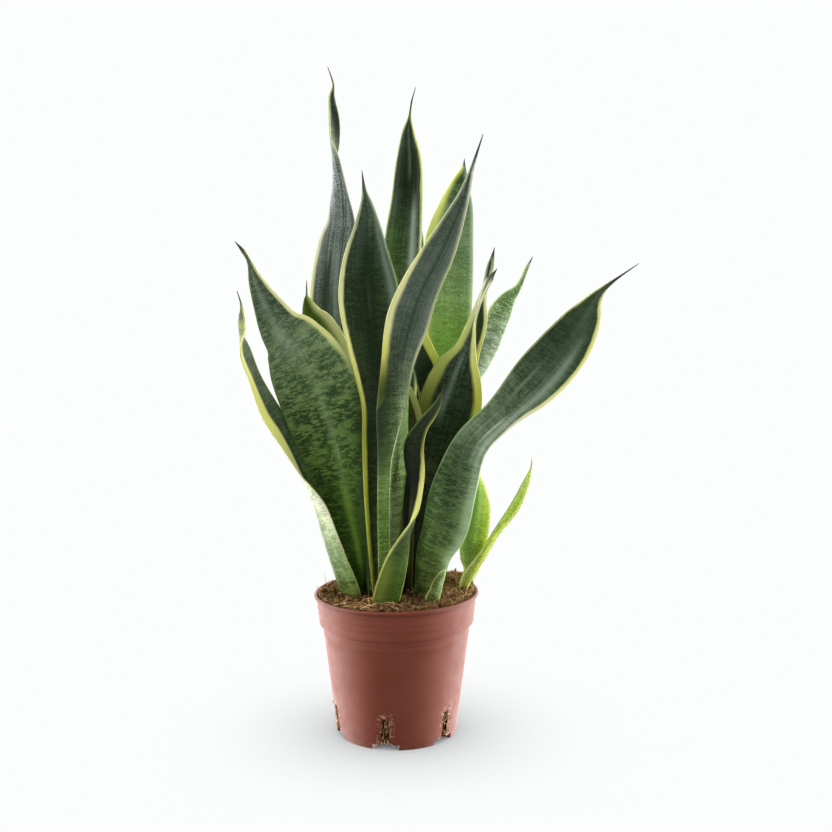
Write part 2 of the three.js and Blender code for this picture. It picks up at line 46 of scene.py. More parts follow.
def deselectAll():
    if bpy.context.mode != "OBJECT":
        bpy.ops.object.mode_set(mode="OBJECT")
    bpy.ops.object.select_all(action="DESELECT")


def makeActive(piece):
    deselectAll()
    piece.select_set(True)
    bpy.context.view_layer.objects.active = piece


def toLinear(tones):
    share = np.asarray(tones, float) / 255
    return np.where(share <= 0.04045, share / 12.92, ((share + 0.055) / 1.055) ** 2.4)


def paint(rgb, light=1.0):
    # surface colour that looks like this tone where the light on it has this level
    return tuple(float(part) for part in np.minimum(toLinear(rgb) / light, 0.98))


def bakeModifiers(piece):
    makeActive(piece)
    for modifier in list(piece.modifiers):
        bpy.ops.object.modifier_apply(modifier=modifier.name)


def nameNewest(name):
    piece = bpy.context.view_layer.objects.active
    piece.name = name
    piece.data.name = name
    return piece


def pointsOf(piece):
    places = np.empty(len(piece.data.vertices) * 3)
    piece.data.vertices.foreach_get("co", places)
    return places.reshape(-1, 3)


def movePoints(piece, places):
    piece.data.vertices.foreach_set("co", np.asarray(places, float).ravel())
    piece.data.update()


def settle(piece, node):
    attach(piece, "root")
    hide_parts(node)


def newMaterial(name):
    material = bpy.data.materials.new(name)
    material.use_nodes = True
    return material, material.node_tree, material.node_tree.nodes["Principled BSDF"]


def plug(tree, socket, value):
    # another node's output, a colour or a number
    if isinstance(value, bpy.types.NodeSocket):
        tree.links.new(value, socket)
    elif hasattr(value, "__len__"):
        socket.default_value = (*value, 1)
    else:
        socket.default_value = value


# from here to cameraRay, each function adds a node, and most give back what comes out of it
def maths(tree, operation, first, second=0.0):
    node = tree.nodes.new("ShaderNodeMath")
    node.operation = operation
    for socket, value in zip(node.inputs, (first, second)):
        plug(tree, socket, value)
    return node.outputs[0]


def between(tree, value, low, high, toLow=0.0, toHigh=1.0):
    node = tree.nodes.new("ShaderNodeMapRange")
    node.interpolation_type = "SMOOTHSTEP"
    for name, number in (("Value", value), ("From Min", low), ("From Max", high),
                         ("To Min", toLow), ("To Max", toHigh)):
        plug(tree, node.inputs[name], number)
    return node.outputs[0]


def mixColor(tree, share, first, second):
    node = tree.nodes.new("ShaderNodeMix")
    node.data_type = "RGBA"
    for index, value in ((0, share), (6, first), (7, second)):
        plug(tree, node.inputs[index], value)
    return node.outputs[2]


def grain(tree, vector, scale=1.0, detail=2.0, roughness=0.5, distortion=0.0):
    node = tree.nodes.new("ShaderNodeTexNoise")
    for name, value in (("Vector", vector), ("Scale", scale), ("Detail", detail),
                        ("Roughness", roughness), ("Distortion", distortion)):
        plug(tree, node.inputs[name], value)
    return node.outputs["Fac"]


def storedPart(tree, name):
    node = tree.nodes.new("ShaderNodeAttribute")
    node.attribute_name = name
    return node.outputs["Vector"]


def split(tree, vector):
    node = tree.nodes.new("ShaderNodeSeparateXYZ")
    plug(tree, node.inputs[0], vector)
    return node.outputs


def joinXyz(tree, x, y, z):
    node = tree.nodes.new("ShaderNodeCombineXYZ")
    for socket, value in zip(node.inputs, (x, y, z)):
        plug(tree, socket, value)
    return node.outputs[0]


def addBump(tree, shader, height, distance, strength):
    node = tree.nodes.new("ShaderNodeBump")
    for name, value in (("Height", height), ("Distance", distance), ("Strength", strength)):
        plug(tree, node.inputs[name], value)
    tree.links.new(node.outputs[0], shader.inputs["Normal"])


def objectPlace(tree):
    return tree.nodes.new("ShaderNodeTexCoord").outputs["Object"]


def cameraRay(tree):
    return tree.nodes.new("ShaderNodeLightPath").outputs["Is Camera Ray"]


studio = {
    "cameraPlace": (0.0143, -0.840, 0.325),  # metres
    "lookDown": 6.3,                         # degrees below level
    "lens": 50.84,
    "sensor": 36,
    "sideGlow": 5.2,                         # softboxes to the left and the right
    "sideEdge": (0.6, 0.9),                  # how far sideways they begin and are full
    "backGlow": 2.8,                         # surround behind the plant
    "frontGlow": 0.07,                       # and round the camera
    "frontEdge": (-0.2, 0.4),                # how far back the one turns into the other
    "backdrop": (0.974, 0.991, 0.982),       # light of the white behind and below, full at 1
    "floorBounce": 0.3,                      # share of the light that the floor gives back
    "floorSize": 30,                         # metres
    # the shade round the pot is a painted shadow: the floor's white glow is dimmed where the occlusion is
    "shadeReach": 0.2,                       # soft shade round the pot, metres
    "shadeLift": 0.09,
    "shadeSamples": 24,
}


def makeStudio():
    bpy.ops.object.camera_add(location=studio["cameraPlace"],
                              rotation=(math.radians(90 - studio["lookDown"]), 0, 0))
    camera = nameNewest("camera")
    camera.data.lens = studio["lens"]
    camera.data.sensor_width = studio["sensor"]
    bpy.context.scene.camera = camera
    bpy.context.scene.view_settings.view_transform = "Standard"

    world = bpy.data.worlds.new("softbox")
    bpy.context.scene.world = world
    world.use_nodes = True
    tree = world.node_tree
    toSide, toBack, _ = split(tree, tree.nodes.new("ShaderNodeTexCoord").outputs["Generated"])
    around = between(tree, toBack, *studio["frontEdge"], studio["frontGlow"], studio["backGlow"])
    sides = between(tree, maths(tree, "ABSOLUTE", toSide), *studio["sideEdge"], 0, studio["sideGlow"])
    glow = maths(tree, "ADD", around, sides)
    color = mixColor(tree, cameraRay(tree), joinXyz(tree, glow, glow, glow), studio["backdrop"])
    plug(tree, tree.nodes["Background"].inputs["Color"], color)

    bpy.ops.mesh.primitive_plane_add(size=studio["floorSize"])
    floor = nameNewest("studio_floor")
    material, tree, shader = newMaterial("studioFloor")
    plug(tree, shader.inputs["Base Color"], [studio["floorBounce"]] * 3)
    shader.inputs["Roughness"].default_value = 1
    shader.inputs["Specular IOR Level"].default_value = 0
    # the camera sees the floor as a white glow with a painted shadow pool round the pot, dimmed by the
    # occlusion
    openness = tree.nodes.new("ShaderNodeAmbientOcclusion")
    openness.samples = studio["shadeSamples"]
    openness.inputs["Distance"].default_value = studio["shadeReach"]
    white = tree.nodes.new("ShaderNodeEmission")
    plug(tree, white.inputs["Color"], studio["backdrop"])
    plug(tree, white.inputs["Strength"],
         maths(tree, "MINIMUM", maths(tree, "ADD", openness.outputs["AO"], studio["shadeLift"]), 1))
    shown = tree.nodes.new("ShaderNodeMixShader")
    for socket, value in zip(shown.inputs, (cameraRay(tree), shader.outputs[0], white.outputs[0])):
        plug(tree, socket, value)
    plug(tree, tree.nodes["Material Output"].inputs[0], shown.outputs[0])
    floor.data.materials.append(material)
    floor.visible_glossy = False
    print("studio ready")


pot = {
    "sides": 144,
    "height": 104,
    "wall": 1.2,
    "baseRadius": 43.8,
    "footBevel": (0.5, 0.6),        # inward and upward
    "bodyTop": (54, 81.6),          # radius and height
    "bodyRings": (6, 14, 24, 36, 48, 60, 68),
    "beads": ((73.4, 75.7, 0.5, 0.22), (78.6, 80, 0.4, 0.12)),  # foot, top, slope and how far out
    "shoulder": ((54.0, 81.3), (54.5, 81.8), (55.9, 82.1), (56.4, 82.5)),
    "bandFoot": (56.4, 82.8),
    "bandTop": (58.4, 101.4),
    "bandRings": (83.2, 100.7),     # its first and last
    "ripples": (87, 92, 97),
    "rippleShape": ((-2.2, 0), (-1.2, 0.5), (0, 1), (1.2, 0.5), (2.2, 0)),  # height, share of the depth
    "rippleDepth": 0.35,
    "lip": ((58.45, 101.2), (59.3, 101.4), (59.75, 101.8), (60, 102.6), (59.9, 103.2), (59.6, 103.7),
            (59.0, 104.0), (58.3, 103.95), (57.6, 103.6), (57.2, 102.8), (57.2, 101.4)),
    "innerShoulder": ((55.2, 84.4), (54.9, 84.0), (53, 82.6)),
    "innerRings": (60, 30, 8),
    "floorTop": 5.8,
    "floorInset": 2,
    "tilt": 0.018,                  # rise of the rim toward +X
    "tiltStart": 60,
    "drainCount": 6,
    "drainFirst": -99.5,            # degrees
    "channelHalf": 12.5,            # degrees to each side
    "channelReach": (24, 51.8),     # from the pot's axis
    "channelHeight": 4,
    "slotReach": (40, 58),
    "slotWidths": (7, 4.5),         # low and high
    "slotHeight": 23.5,
    "cutBelow": 2,                  # how far the cutters stand out under the foot
    "slotCuts": 7,
    "tearWaves": (0.33, 0.5),       # of the slots' sides and of their tops, per millimetre
    "tearDepths": (0.7, 0.6),
    "color": (0.192, 0.046, 0.0255),  # shares of the light given back
    "dust": (200, 150, 130),
    "footTone": (150, 95, 80),
    "scuffs": (196, 160, 140),
    # tone of the painted shadow line under the lip
    "paintedLipShadow": (84, 34, 24),
    "roughness": 0.46,
}


def tiltRim(places):
    # places in millimetres
    rise = np.clip((places[:, 2] - pot["tiltStart"]) / (pot["height"] - pot["tiltStart"]), 0, 1)
    places[:, 2] += pot["tilt"] * places[:, 0] * rise
    return places


def bodyRadius(height):
    topRadius, topHeight = pot["bodyTop"]
    return pot["baseRadius"] + (topRadius - pot["baseRadius"]) * height / topHeight


def bandRadius(height):
    footRadius, footHeight = pot["bandFoot"]
    topRadius, topHeight = pot["bandTop"]
    return footRadius + (topRadius - footRadius) * (height - footHeight) / (topHeight - footHeight)


def potProfile():
    # radius and height, from the foot up the outside, over the lip and down the inside
    inward, upward = pot["footBevel"]
    rows = [(pot["baseRadius"] - inward, 0), (bodyRadius(upward), upward)]
    rows += [(bodyRadius(height), height) for height in pot["bodyRings"]]
    for foot, top, slope, out in pot["beads"]:
        rows += [(bodyRadius(foot), foot), (bodyRadius(foot + slope) + out, foot + slope),
                 (bodyRadius(top - slope) + out, top - slope), (bodyRadius(top), top)]
    first, last = pot["bandRings"]
    rows += [*pot["shoulder"], (bandRadius(first), first)]
    for middle in pot["ripples"]:
        for offset, depth in pot["rippleShape"]:
            height = middle + offset
            rows.append((bandRadius(height) - depth * pot["rippleDepth"], height))
    rows += [(bandRadius(last), last), *pot["lip"], *pot["innerShoulder"]]
    rows += [(bodyRadius(height) - pot["wall"], height) for height in pot["innerRings"]]
    return rows + [(bodyRadius(pot["floorTop"]) - pot["floorInset"], pot["floorTop"])]


def makePot():
    rows = potProfile()
    deselectAll()
    radius, height = rows[0]
    bpy.ops.mesh.primitive_circle_add(vertices=pot["sides"], radius=radius * mm)
    piece = nameNewest("pot_shell")
    bpy.ops.object.mode_set(mode="EDIT")
    bpy.ops.mesh.select_all(action="SELECT")
    for nextRadius, nextHeight in rows[1:]:
        bpy.ops.mesh.extrude_region_move(
            TRANSFORM_OT_translate={"value": (0, 0, (nextHeight - height) * mm)})
        share = nextRadius / radius
        bpy.ops.transform.resize(value=(share, share, 1), center_override=(0, 0, nextHeight * mm))
        radius, height = nextRadius, nextHeight
    bpy.ops.mesh.edge_face_add()  # inner floor
    bpy.ops.mesh.select_all(action="DESELECT")
    bpy.ops.object.mode_set(mode="OBJECT")
    for vertex in piece.data.vertices:
        vertex.select = vertex.co.z < 0.1 * mm
    bpy.ops.object.mode_set(mode="EDIT")
    bpy.ops.mesh.edge_face_add()  # underside
    bpy.ops.mesh.select_all(action="SELECT")
    bpy.ops.mesh.normals_make_consistent(inside=False)
    bpy.ops.object.mode_set(mode="OBJECT")
    cutDrains(piece)
    movePoints(piece, tiltRim(pointsOf(piece) / mm) * mm)
    piece.data.materials.clear()
    piece.data.materials.append(potPlastic())
    makeActive(piece)
    bpy.ops.object.shade_smooth_by_angle(angle=math.radians(38))
    settle(piece, "pot")
    print("pot ready")


def drainAngles():
    return [pot["drainFirst"] + 360 / pot["drainCount"] * k for k in range(pot["drainCount"])]


def cutterBlock(name, cornerAt):
    # a cube whose corners are moved: each is inner or outer, on one side or the other, low or high
    deselectAll()
    bpy.ops.mesh.primitive_cube_add(size=1)
    block = nameNewest(name)
    for vertex in block.data.vertices:
        outer, side, high = vertex.co.x > 0, math.copysign(1, vertex.co.y), vertex.co.z > 0
        vertex.co = [part * mm for part in cornerAt(outer, side, high)]
    return block


def channelCorner(outer, side, high):
    reach, half = pot["channelReach"][outer], math.radians(pot["channelHalf"])
    height = pot["channelHeight"] if high else -pot["cutBelow"]
    return reach * math.cos(half), side * reach * math.sin(half), height


def slotCorner(outer, side, high):
    height = pot["slotHeight"] if high else -pot["cutBelow"]
    return pot["slotReach"][outer], side * pot["slotWidths"][high] / 2, height


def tearEdges(bar, seed):
    # uneven sides and an uneven top for a slot
    makeActive(bar)
    bpy.ops.object.mode_set(mode="EDIT")
    bpy.ops.mesh.select_all(action="SELECT")
    bpy.ops.mesh.subdivide(number_cuts=pot["slotCuts"])
    bpy.ops.object.mode_set(mode="OBJECT")
    draw = random.Random(seed)
    shift = Vector((draw.uniform(0, 50), draw.uniform(0, 50), 0))
    sideWaves, topWaves = (waves / mm for waves in pot["tearWaves"])
    sideDepth, topDepth = (depth * mm for depth in pot["tearDepths"])
    for vertex in bar.data.vertices:
        upSide = Vector((vertex.co.z * sideWaves, math.copysign(9, vertex.co.y), 0))
        vertex.co.y += noise.noise(upSide + shift) * sideDepth
        vertex.co.z += noise.noise(Vector((vertex.co.y * topWaves, 3, 0)) + shift) * topDepth


def cutOut(piece, cutter):
    # the exact cut comes first, and another solver takes over where that leaves nothing of the piece
    whole = piece.data.copy()
    for solver in ("EXACT", "MANIFOLD", "FAST"):
        modifier = piece.modifiers.new("drain", "BOOLEAN")
        modifier.operation = "DIFFERENCE"
        modifier.solver = solver
        modifier.object = cutter
        bakeModifiers(piece)
        if len(piece.data.polygons) > len(whole.polygons) / 2:
            break
        piece.data = whole.copy()
    bpy.data.meshes.remove(whole)
    bpy.data.objects.remove(cutter)


def cutDrains(piece):
    # a channel under the floor, and the slot that stands over it
    for angle in drainAngles():
        channel = cutterBlock("channel_cutter", channelCorner)
        slot = cutterBlock("slot_cutter", slotCorner)
        tearEdges(slot, int(angle * 10))
        for cutter in (channel, slot):
            cutter.rotation_euler.z = math.radians(angle)
            makeActive(cutter)
            bpy.ops.object.transform_apply(location=False, rotation=True, scale=False)
            cutOut(piece, cutter)


def potPlastic():
    material, tree, shader = newMaterial("potPlastic")
    place = objectPlace(tree)
    x, y, z = [maths(tree, "MULTIPLY", part, 1 / mm) for part in split(tree, place)]
    lighter = tuple(part * 1.12 + 0.006 for part in pot["color"])
    color = mixColor(tree, between(tree, grain(tree, place, 22, 3, 0.55), 0.35, 0.7), pot["color"], lighter)
    dust = between(tree, grain(tree, place, 900, 2, 0.6), 0.66, 0.8, 0, 0.25)
    color = mixColor(tree, dust, color, paint(pot["dust"]))
    color = mixColor(tree, between(tree, z, 0.5, 6, 0.35, 0), color, paint(pot["footTone"]))
    # scuffed beside the slots, and a painted shadow line under the lip
    turn = maths(tree, "SUBTRACT", maths(tree, "ARCTAN2", y, x), math.radians(pot["drainFirst"]))
    beside = between(tree, maths(tree, "COSINE", maths(tree, "MULTIPLY", turn, pot["drainCount"])), 0.5, 0.95)
    beside = maths(tree, "MULTIPLY", beside, between(tree, z, pot["slotHeight"] + 0.5, 31, 1, 0))
    scuffs = between(tree, grain(tree, place, 420, 3, 0.6), 0.54, 0.62, 0, 0.8)
    color = mixColor(tree, maths(tree, "MULTIPLY", scuffs, beside), color, paint(pot["scuffs"]))
    fromLip = maths(tree, "ABSOLUTE", maths(tree, "SUBTRACT", z, pot["lip"][0][1]))
    color = mixColor(tree, between(tree, fromLip, 0.5, 1.6, 0.45, 0), color, paint(pot["paintedLipShadow"]))
    plug(tree, shader.inputs["Base Color"], color)
    roughness = between(tree, grain(tree, place, 120, 3, 0.6), 0.3, 0.75, pot["roughness"] - 0.05,
                        pot["roughness"] + 0.07)
    plug(tree, shader.inputs["Roughness"], roughness)
    shader.inputs["IOR"].default_value = 1.3
    addBump(tree, shader, grain(tree, place, 260, 2, 0.5), 0.06 * mm, 0.5)
    return material


soil = {
    "sides": 192,
    "rings": 46,
    "bottom": 6.2,
    "bottomInset": 2.2,             # from the outside of the pot
    "top": 101.4,                   # flat at first, then heaped
    "brim": 56.9,                   # radius of the top
    "edgeHeight": 103.6,
    "edgeDrop": 1.0,
    "edgeWidth": 1.6,
    "crown": 1.8,
    "span": 58.4,                   # radius at which the crown ends
    "heaps": ((41, 15, 7.3, 16), (57, 7, 3.2, 10), (-54, -10, 3.2, 10), (4, 30, 1.5, 18)),
    "lumps": ((1.6, 7), (0.9, 2.6)),  # height and width of the coarse and the fine unevenness
    "tones": ((40, 28, 16), (122, 92, 54)),
    "specks": (160, 128, 80),
}


def soilHeight(x, y):
    radius = min(math.hypot(x, y) / soil["span"], 1)
    height = soil["edgeHeight"] + soil["crown"] * (1 - radius * radius)
    for heapX, heapY, rise, reach in soil["heaps"]:
        height += rise * math.exp(-((x - heapX) ** 2 + (y - heapY) ** 2) / reach ** 2)
    return height + pot["tilt"] * x


def soilTop(x, y):
    # the height with its lumps
    (coarse, coarseWidth), (fine, fineWidth) = soil["lumps"]
    place = Vector((x, y, 0))
    elsewhere = Vector((9, 4, 2))
    lumps = coarse * noise.noise(place / coarseWidth) + fine * noise.noise(place / fineWidth + elsewhere)
    return soilHeight(x, y) + lumps


def makeSoilBody():
    deselectAll()
    top, bottom, brim = soil["top"], soil["bottom"], soil["brim"]
    bpy.ops.mesh.primitive_cylinder_add(vertices=soil["sides"], radius=brim * mm, depth=(top - bottom) * mm,
                                        location=(0, 0, (top + bottom) / 2 * mm))
    piece = nameNewest("soil_body")
    bpy.ops.object.transform_apply(location=True, rotation=False, scale=False)
    bpy.ops.object.mode_set(mode="EDIT")
    bpy.ops.mesh.select_all(action="DESELECT")
    bpy.ops.object.mode_set(mode="OBJECT")
    for face in piece.data.polygons:
        face.select = face.normal.z > 0.9
    bpy.ops.object.mode_set(mode="EDIT")
    bpy.context.tool_settings.mesh_select_mode = (False, False, True)
    for _ in range(soil["rings"]):
        bpy.ops.mesh.inset(thickness=brim / (soil["rings"] + 1) * mm)
    bpy.ops.mesh.poke()
    bpy.ops.object.mode_set(mode="OBJECT")
    places = pointsOf(piece) / mm
    for place in places:
        radius = math.hypot(place[0], place[1])
        if place[2] < top - 1:
            place[:2] *= (bodyRadius(bottom) - soil["bottomInset"]) / radius
            continue
        drop = soil["edgeDrop"] * max(0, (radius - brim) / soil["edgeWidth"] + 1)
        place[2] = soilTop(place[0], place[1]) - drop
    movePoints(piece, places * mm)
    makeActive(piece)
    bpy.ops.object.shade_smooth()
    piece.data.materials.append(soilEarth("soilPeat", *soil["tones"]))
    settle(piece, "soil")


def soilEarth(name, dark, light):
    material, tree, shader = newMaterial(name)
    place = objectPlace(tree)
    coarse = grain(tree, place, 300, 4, 0.7)
    fine = grain(tree, place, 1900, 2, 0.6)
    color = mixColor(tree, between(tree, coarse, 0.35, 0.68), paint(dark, 0.8), paint(light, 0.8))
    color = mixColor(tree, between(tree, fine, 0.55, 0.8, 0, 0.6), color, paint(soil["specks"], 0.6))
    plug(tree, shader.inputs["Base Color"], color)
    shader.inputs["Roughness"].default_value = 0.95
    shader.inputs["Specular IOR Level"].default_value = 0.15
    addBump(tree, shader, maths(tree, "ADD", coarse, maths(tree, "MULTIPLY", fine, 0.5)), 1.2 * mm, 0.9)
    return material


def spot(draw):
    # a random place on the soil, just inside its edge
    angle = draw.uniform(0, 2 * math.pi)
    radius = soil["brim"] * math.sqrt(draw.uniform(0.0, 0.985))
    return radius * math.cos(angle), radius * math.sin(angle)


def joinAll(pieces, name):
    deselectAll()
    for piece in pieces:
        piece.select_set(True)
    bpy.context.view_layer.objects.active = pieces[0]
    bpy.ops.object.join()
    return nameNewest(name)


def scatterCopy(source, places):
    # its own mesh, with the points at these places in millimetres
    piece = bpy.data.objects.new(source.name, source.data.copy())
    movePoints(piece, places * mm)
    bpy.context.scene.collection.objects.link(piece)
    return piece


def turned(places, draw):
    # places turned at random about all three axes
    angles = [draw.uniform(0, 2 * math.pi) for _ in range(3)]
    for k, angle in enumerate(angles):
        a, b = (k + 1) % 3, (k + 2) % 3
        first = places[:, a] * math.cos(angle) - places[:, b] * math.sin(angle)
        places[:, b] = places[:, a] * math.sin(angle) + places[:, b] * math.cos(angle)
        places[:, a] = first
    return places


crumbs = {
    "count": 1500,
    "seed": 11,
    "size": (0.7, 2.6),
    "mostlySmall": 2.6,             # the higher, the fewer large ones
    "stretch": ((0.7, 1.5), (0.5, 1.0), (0.45, 0.8)),
    "dents": 0.25,
    "lift": (-0.3, 0.35),           # in sizes
    "rimGap": 0.2,
    "tones": ((58, 40, 23), (154, 120, 76)),
}


def makeCrumbs():
    draw = random.Random(crumbs["seed"])
    deselectAll()
    bpy.ops.mesh.primitive_ico_sphere_add(subdivisions=1, radius=1)
    source = nameNewest("crumb")
    source.data.materials.append(soilEarth("soilCrumb", *crumbs["tones"]))
    ball = pointsOf(source)
    small, large = crumbs["size"]
    made = []
    for _ in range(crumbs["count"]):
        x, y = spot(draw)
        size = small + (large - small) * draw.random() ** crumbs["mostlySmall"]
        shape = ball * [draw.uniform(*share) for share in crumbs["stretch"]]
        shape *= 1 + np.array([[draw.uniform(-crumbs["dents"], crumbs["dents"])] for _ in ball])
        shape = turned(shape * size, draw)
        limit = (soil["brim"] - crumbs["rimGap"] - size) / max(math.hypot(x, y), 0.001)
        if limit < 1:
            x, y = x * limit, y * limit
        z = soilTop(x, y) + size * draw.uniform(*crumbs["lift"])
        made.append(scatterCopy(source, shape + (x, y, z)))
    bpy.data.objects.remove(source)
    settle(joinAll(made, "soil_crumbs"), "soil")


def strand(path, thickness):
    # a three-sided tube along a path, thinner toward both ends; gives its points
    path = np.asarray(path, float)
    ahead = unit(np.gradient(path, axis=0))
    side = unit(np.cross(ahead, (0.31, 0.17, 0.93)))
    up = np.cross(side, ahead)
    share = np.linspace(0, 1, len(path))
    half = thickness / 2 * (0.35 + 0.65 * np.sin(np.pi * np.clip(share * 0.9 + 0.08, 0, 1)))
    rings = []
    for k in range(3):
        angle = 2 * math.pi * k / 3
        rings.append(path + half[:, None] * (side * math.cos(angle) + up * math.sin(angle)))
    return np.stack(rings, axis=1).reshape(-1, 3)


def strandMesh(steps):
    # the faces of such a tube, closed at both ends; each copy's points come from strand()
    mesh = bpy.data.meshes.new("strand")
    faces = []
    for k in range(steps - 1):
        for j in range(3):
            a, b = k * 3 + j, k * 3 + (j + 1) % 3
            faces.append((a, b, b + 3, a + 3))
    faces += [(2, 1, 0), tuple((steps - 1) * 3 + j for j in range(3))]
    mesh.from_pydata([(0, 0, k) for k in range(steps * 3)], [], faces)
    piece = bpy.data.objects.new("strand", mesh)
    bpy.context.scene.collection.objects.link(piece)
    return piece


def fibreTone(name, dark, light):
    material, tree, shader = newMaterial(name)
    change = between(tree, grain(tree, objectPlace(tree), 300, 2, 0.5), 0.3, 0.7)
    color = mixColor(tree, change, paint(dark, 0.8), paint(light, 0.8))
    plug(tree, shader.inputs["Base Color"], color)
    shader.inputs["Roughness"].default_value = 0.8
    shader.inputs["Specular IOR Level"].default_value = 0.25
    return material


fibres = {
    "steps": 8,
    "clear": 0.25,                  # height of a fibre's ends over the soil
    "rimGap": 0.8,
    "curl": 0.22,
    "uneven": (0.7, 1.5),           # thinnest and thickest, as shares of the thickness
}

# scattered over the soil, or round a middle with a spread to the side and to the back
fibreKinds = {
    "soil_fibres_dark": {
        "count": 310, "seed": 21, "tones": ((62, 42, 26), (104, 76, 46)),
        "length": (7, 26), "thickness": 0.3, "rise": (0.0, 1.6),
    },
    "soil_fibres_gold": {
        "count": 310, "seed": 22, "tones": ((120, 88, 48), (190, 156, 100)),
        "length": (7, 26), "thickness": 0.24, "rise": (0.2, 3.0),
    },
    "soil_fibres_heap": {
        "count": 320, "seed": 23, "tones": ((146, 112, 62), (214, 178, 118)),
        "length": (5, 14), "thickness": 0.3, "rise": (0.4, 2.6), "middle": (42, 4), "spread": (8, 14),
    },
    "soil_straws": {
        "count": 26, "seed": 24, "tones": ((176, 128, 84), (226, 184, 132)),
        "length": (10, 24), "thickness": 0.42, "rise": (0.6, 3.2), "middle": (-24, -42), "spread": (14, 5),
    },
}


def fibrePath(kind, draw):
    if "middle" in kind:
        x, y = (draw.gauss(*pair) for pair in zip(kind["middle"], kind["spread"]))
    else:
        x, y = spot(draw)
    heading = draw.uniform(0, 2 * math.pi)
    curl = draw.gauss(0, fibres["curl"])
    stride = draw.uniform(*kind["length"]) / (fibres["steps"] - 1)
    rise = draw.uniform(*kind["rise"])
    limit = soil["brim"] - fibres["rimGap"]
    path = []
    for k in range(fibres["steps"]):
        share = k / (fibres["steps"] - 1)
        reach = math.hypot(x, y)
        if reach > limit:  # stays inside the rim
            x, y = x * limit / reach, y * limit / reach
        arch = rise * math.sin(math.pi * min(share * 1.1, 1))
        path.append((x, y, soilTop(x, y) + fibres["clear"] + arch))
        x += math.cos(heading) * stride
        y += math.sin(heading) * stride
        heading += curl
    return path


def makeFibres(name, kind):
    draw = random.Random(kind["seed"])
    source = strandMesh(fibres["steps"])
    source.data.materials.append(fibreTone(name + "Tone", *kind["tones"]))
    made = []
    for _ in range(kind["count"]):
        path = fibrePath(kind, draw)
        made.append(scatterCopy(source, strand(path, kind["thickness"] * draw.uniform(*fibres["uneven"]))))
    bpy.data.objects.remove(source)
    piece = joinAll(made, name)
    makeActive(piece)
    bpy.ops.object.shade_smooth()
    settle(piece, "soil")


whiskers = {
    "seed": 25,
    "steps": 6,
    "tones": ((130, 98, 60), (214, 180, 128)),
    "perSlot": 26,
    "spread": 2.2,                  # across the slot
    "heights": (6, 26),
    "lean": (-3.5, 3.5),
    "drop": (-7, 3),
    "behind": 1.6,                  # where they start, from the pot's outside
    "bulge": 2.4,
    "thickness": (0.25, 0.5),
    "hairThickness": 0.34,
    # hairs that stand up at the rim and the young shoot: first end, last end and how far they bend
    "hairs": (((-51.5, -4, 104), (-52.5, -5, 119), 0.8), ((-57, -2, 103), (-58.5, -3, 109), 0.5),
              ((47, -9, 126), (46, -12, 134), 1.2), ((49, -8, 124), (44.5, -10, 131.5), 0.8),
              ((36, -2, 112), (34.5, -5, 119), -0.8), ((39.5, -1, 112), (40.5, -4, 120), 0.8)),
}


def makeWhiskers():
    # fibres that hang out of the slots, and the single hairs
    draw = random.Random(whiskers["seed"])
    source = strandMesh(whiskers["steps"])
    source.data.materials.append(fibreTone("soil_whiskersTone", *whiskers["tones"]))
    share = np.linspace(0, 1, whiskers["steps"])
    arch = np.sin(math.pi * share)
    made = []
    for angle in drainAngles():
        turn = math.radians(angle)
        for _ in range(whiskers["perSlot"]):
            spread, z = draw.gauss(0, whiskers["spread"]), draw.uniform(*whiskers["heights"])
            lean, drop = draw.uniform(*whiskers["lean"]), draw.uniform(*whiskers["drop"])
            out = bodyRadius(z) - whiskers["behind"] + whiskers["bulge"] * arch
            across = spread + lean * share
            path = np.stack([out * math.cos(turn) - across * math.sin(turn),
                             out * math.sin(turn) + across * math.cos(turn), z + drop * share], axis=-1)
            made.append(scatterCopy(source, strand(path, draw.uniform(*whiskers["thickness"]))))
    for first, last, bend in whiskers["hairs"]:
        path = np.linspace(first, last, whiskers["steps"])
        path[:, 0] += bend * arch
        made.append(scatterCopy(source, strand(path, whiskers["hairThickness"])))
    bpy.data.objects.remove(source)
    settle(joinAll(made, "soil_whiskers"), "soil")


def makeSoil():
    makeSoilBody()
    makeCrumbs()
    for name, kind in fibreKinds.items():
        makeFibres(name, kind)
    makeWhiskers()
    print("soil ready")


blade = {
    "columns": 26,
    "stepsPerRib": 9,
    "edge": 0.8,                    # thickness there and in the middle
    "middle": 2.2,
    "fullWidth": 6,                 # half width from which the middle is at its thickest
    "narrowest": 0.5,
    "tipRun": 0.9,                  # part of the last stretch between ribs that runs to a point
    "flutes": 0.12,
    "fluteCount": 7,
    "youngDepth": 4,                # how far light gets into a young blade
    "tipTone": (58, 60, 50),
}


def ribCurve(ribs, stations):
    # smooth curve through the ribs: the six numbers and their rates at each station
    ribs = np.asarray(ribs, float)
    last = len(ribs) - 1
    rates = np.empty_like(ribs)
    rates[1:-1] = (ribs[2:] - ribs[:-2]) / 2
    rates[0] = ribs[1] - ribs[0]
    rates[-1] = ribs[-1] - ribs[-2]
    k = np.minimum(stations.astype(int), last - 1)
    t = (stations - k)[:, None]
    values = ((2 * t**3 - 3 * t**2 + 1) * ribs[k] + (t**3 - 2 * t**2 + t) * rates[k]
              + (3 * t**2 - 2 * t**3) * ribs[k + 1] + (t**3 - t**2) * rates[k + 1])
    slopes = ((6 * t**2 - 6 * t) * (ribs[k] - ribs[k + 1]) + (3 * t**2 - 4 * t + 1) * rates[k]
              + (3 * t**2 - 2 * t) * rates[k + 1])
    return values, slopes


def unit(vectors):
    return vectors / np.linalg.norm(vectors, axis=-1, keepdims=True)


def stops(pairs, heights):
    # a value, or a colour, that changes along the blade: pairs of height and value
    if not isinstance(pairs, (list, tuple)) or not isinstance(pairs[0], (list, tuple)):
        pairs = [(0, pairs)]
    marks = [height for height, _ in pairs]
    values = np.array([np.atleast_1d(value) for _, value in pairs], float)
    return np.stack([np.interp(heights, marks, values[:, c]) for c in range(values.shape[1])], axis=-1)


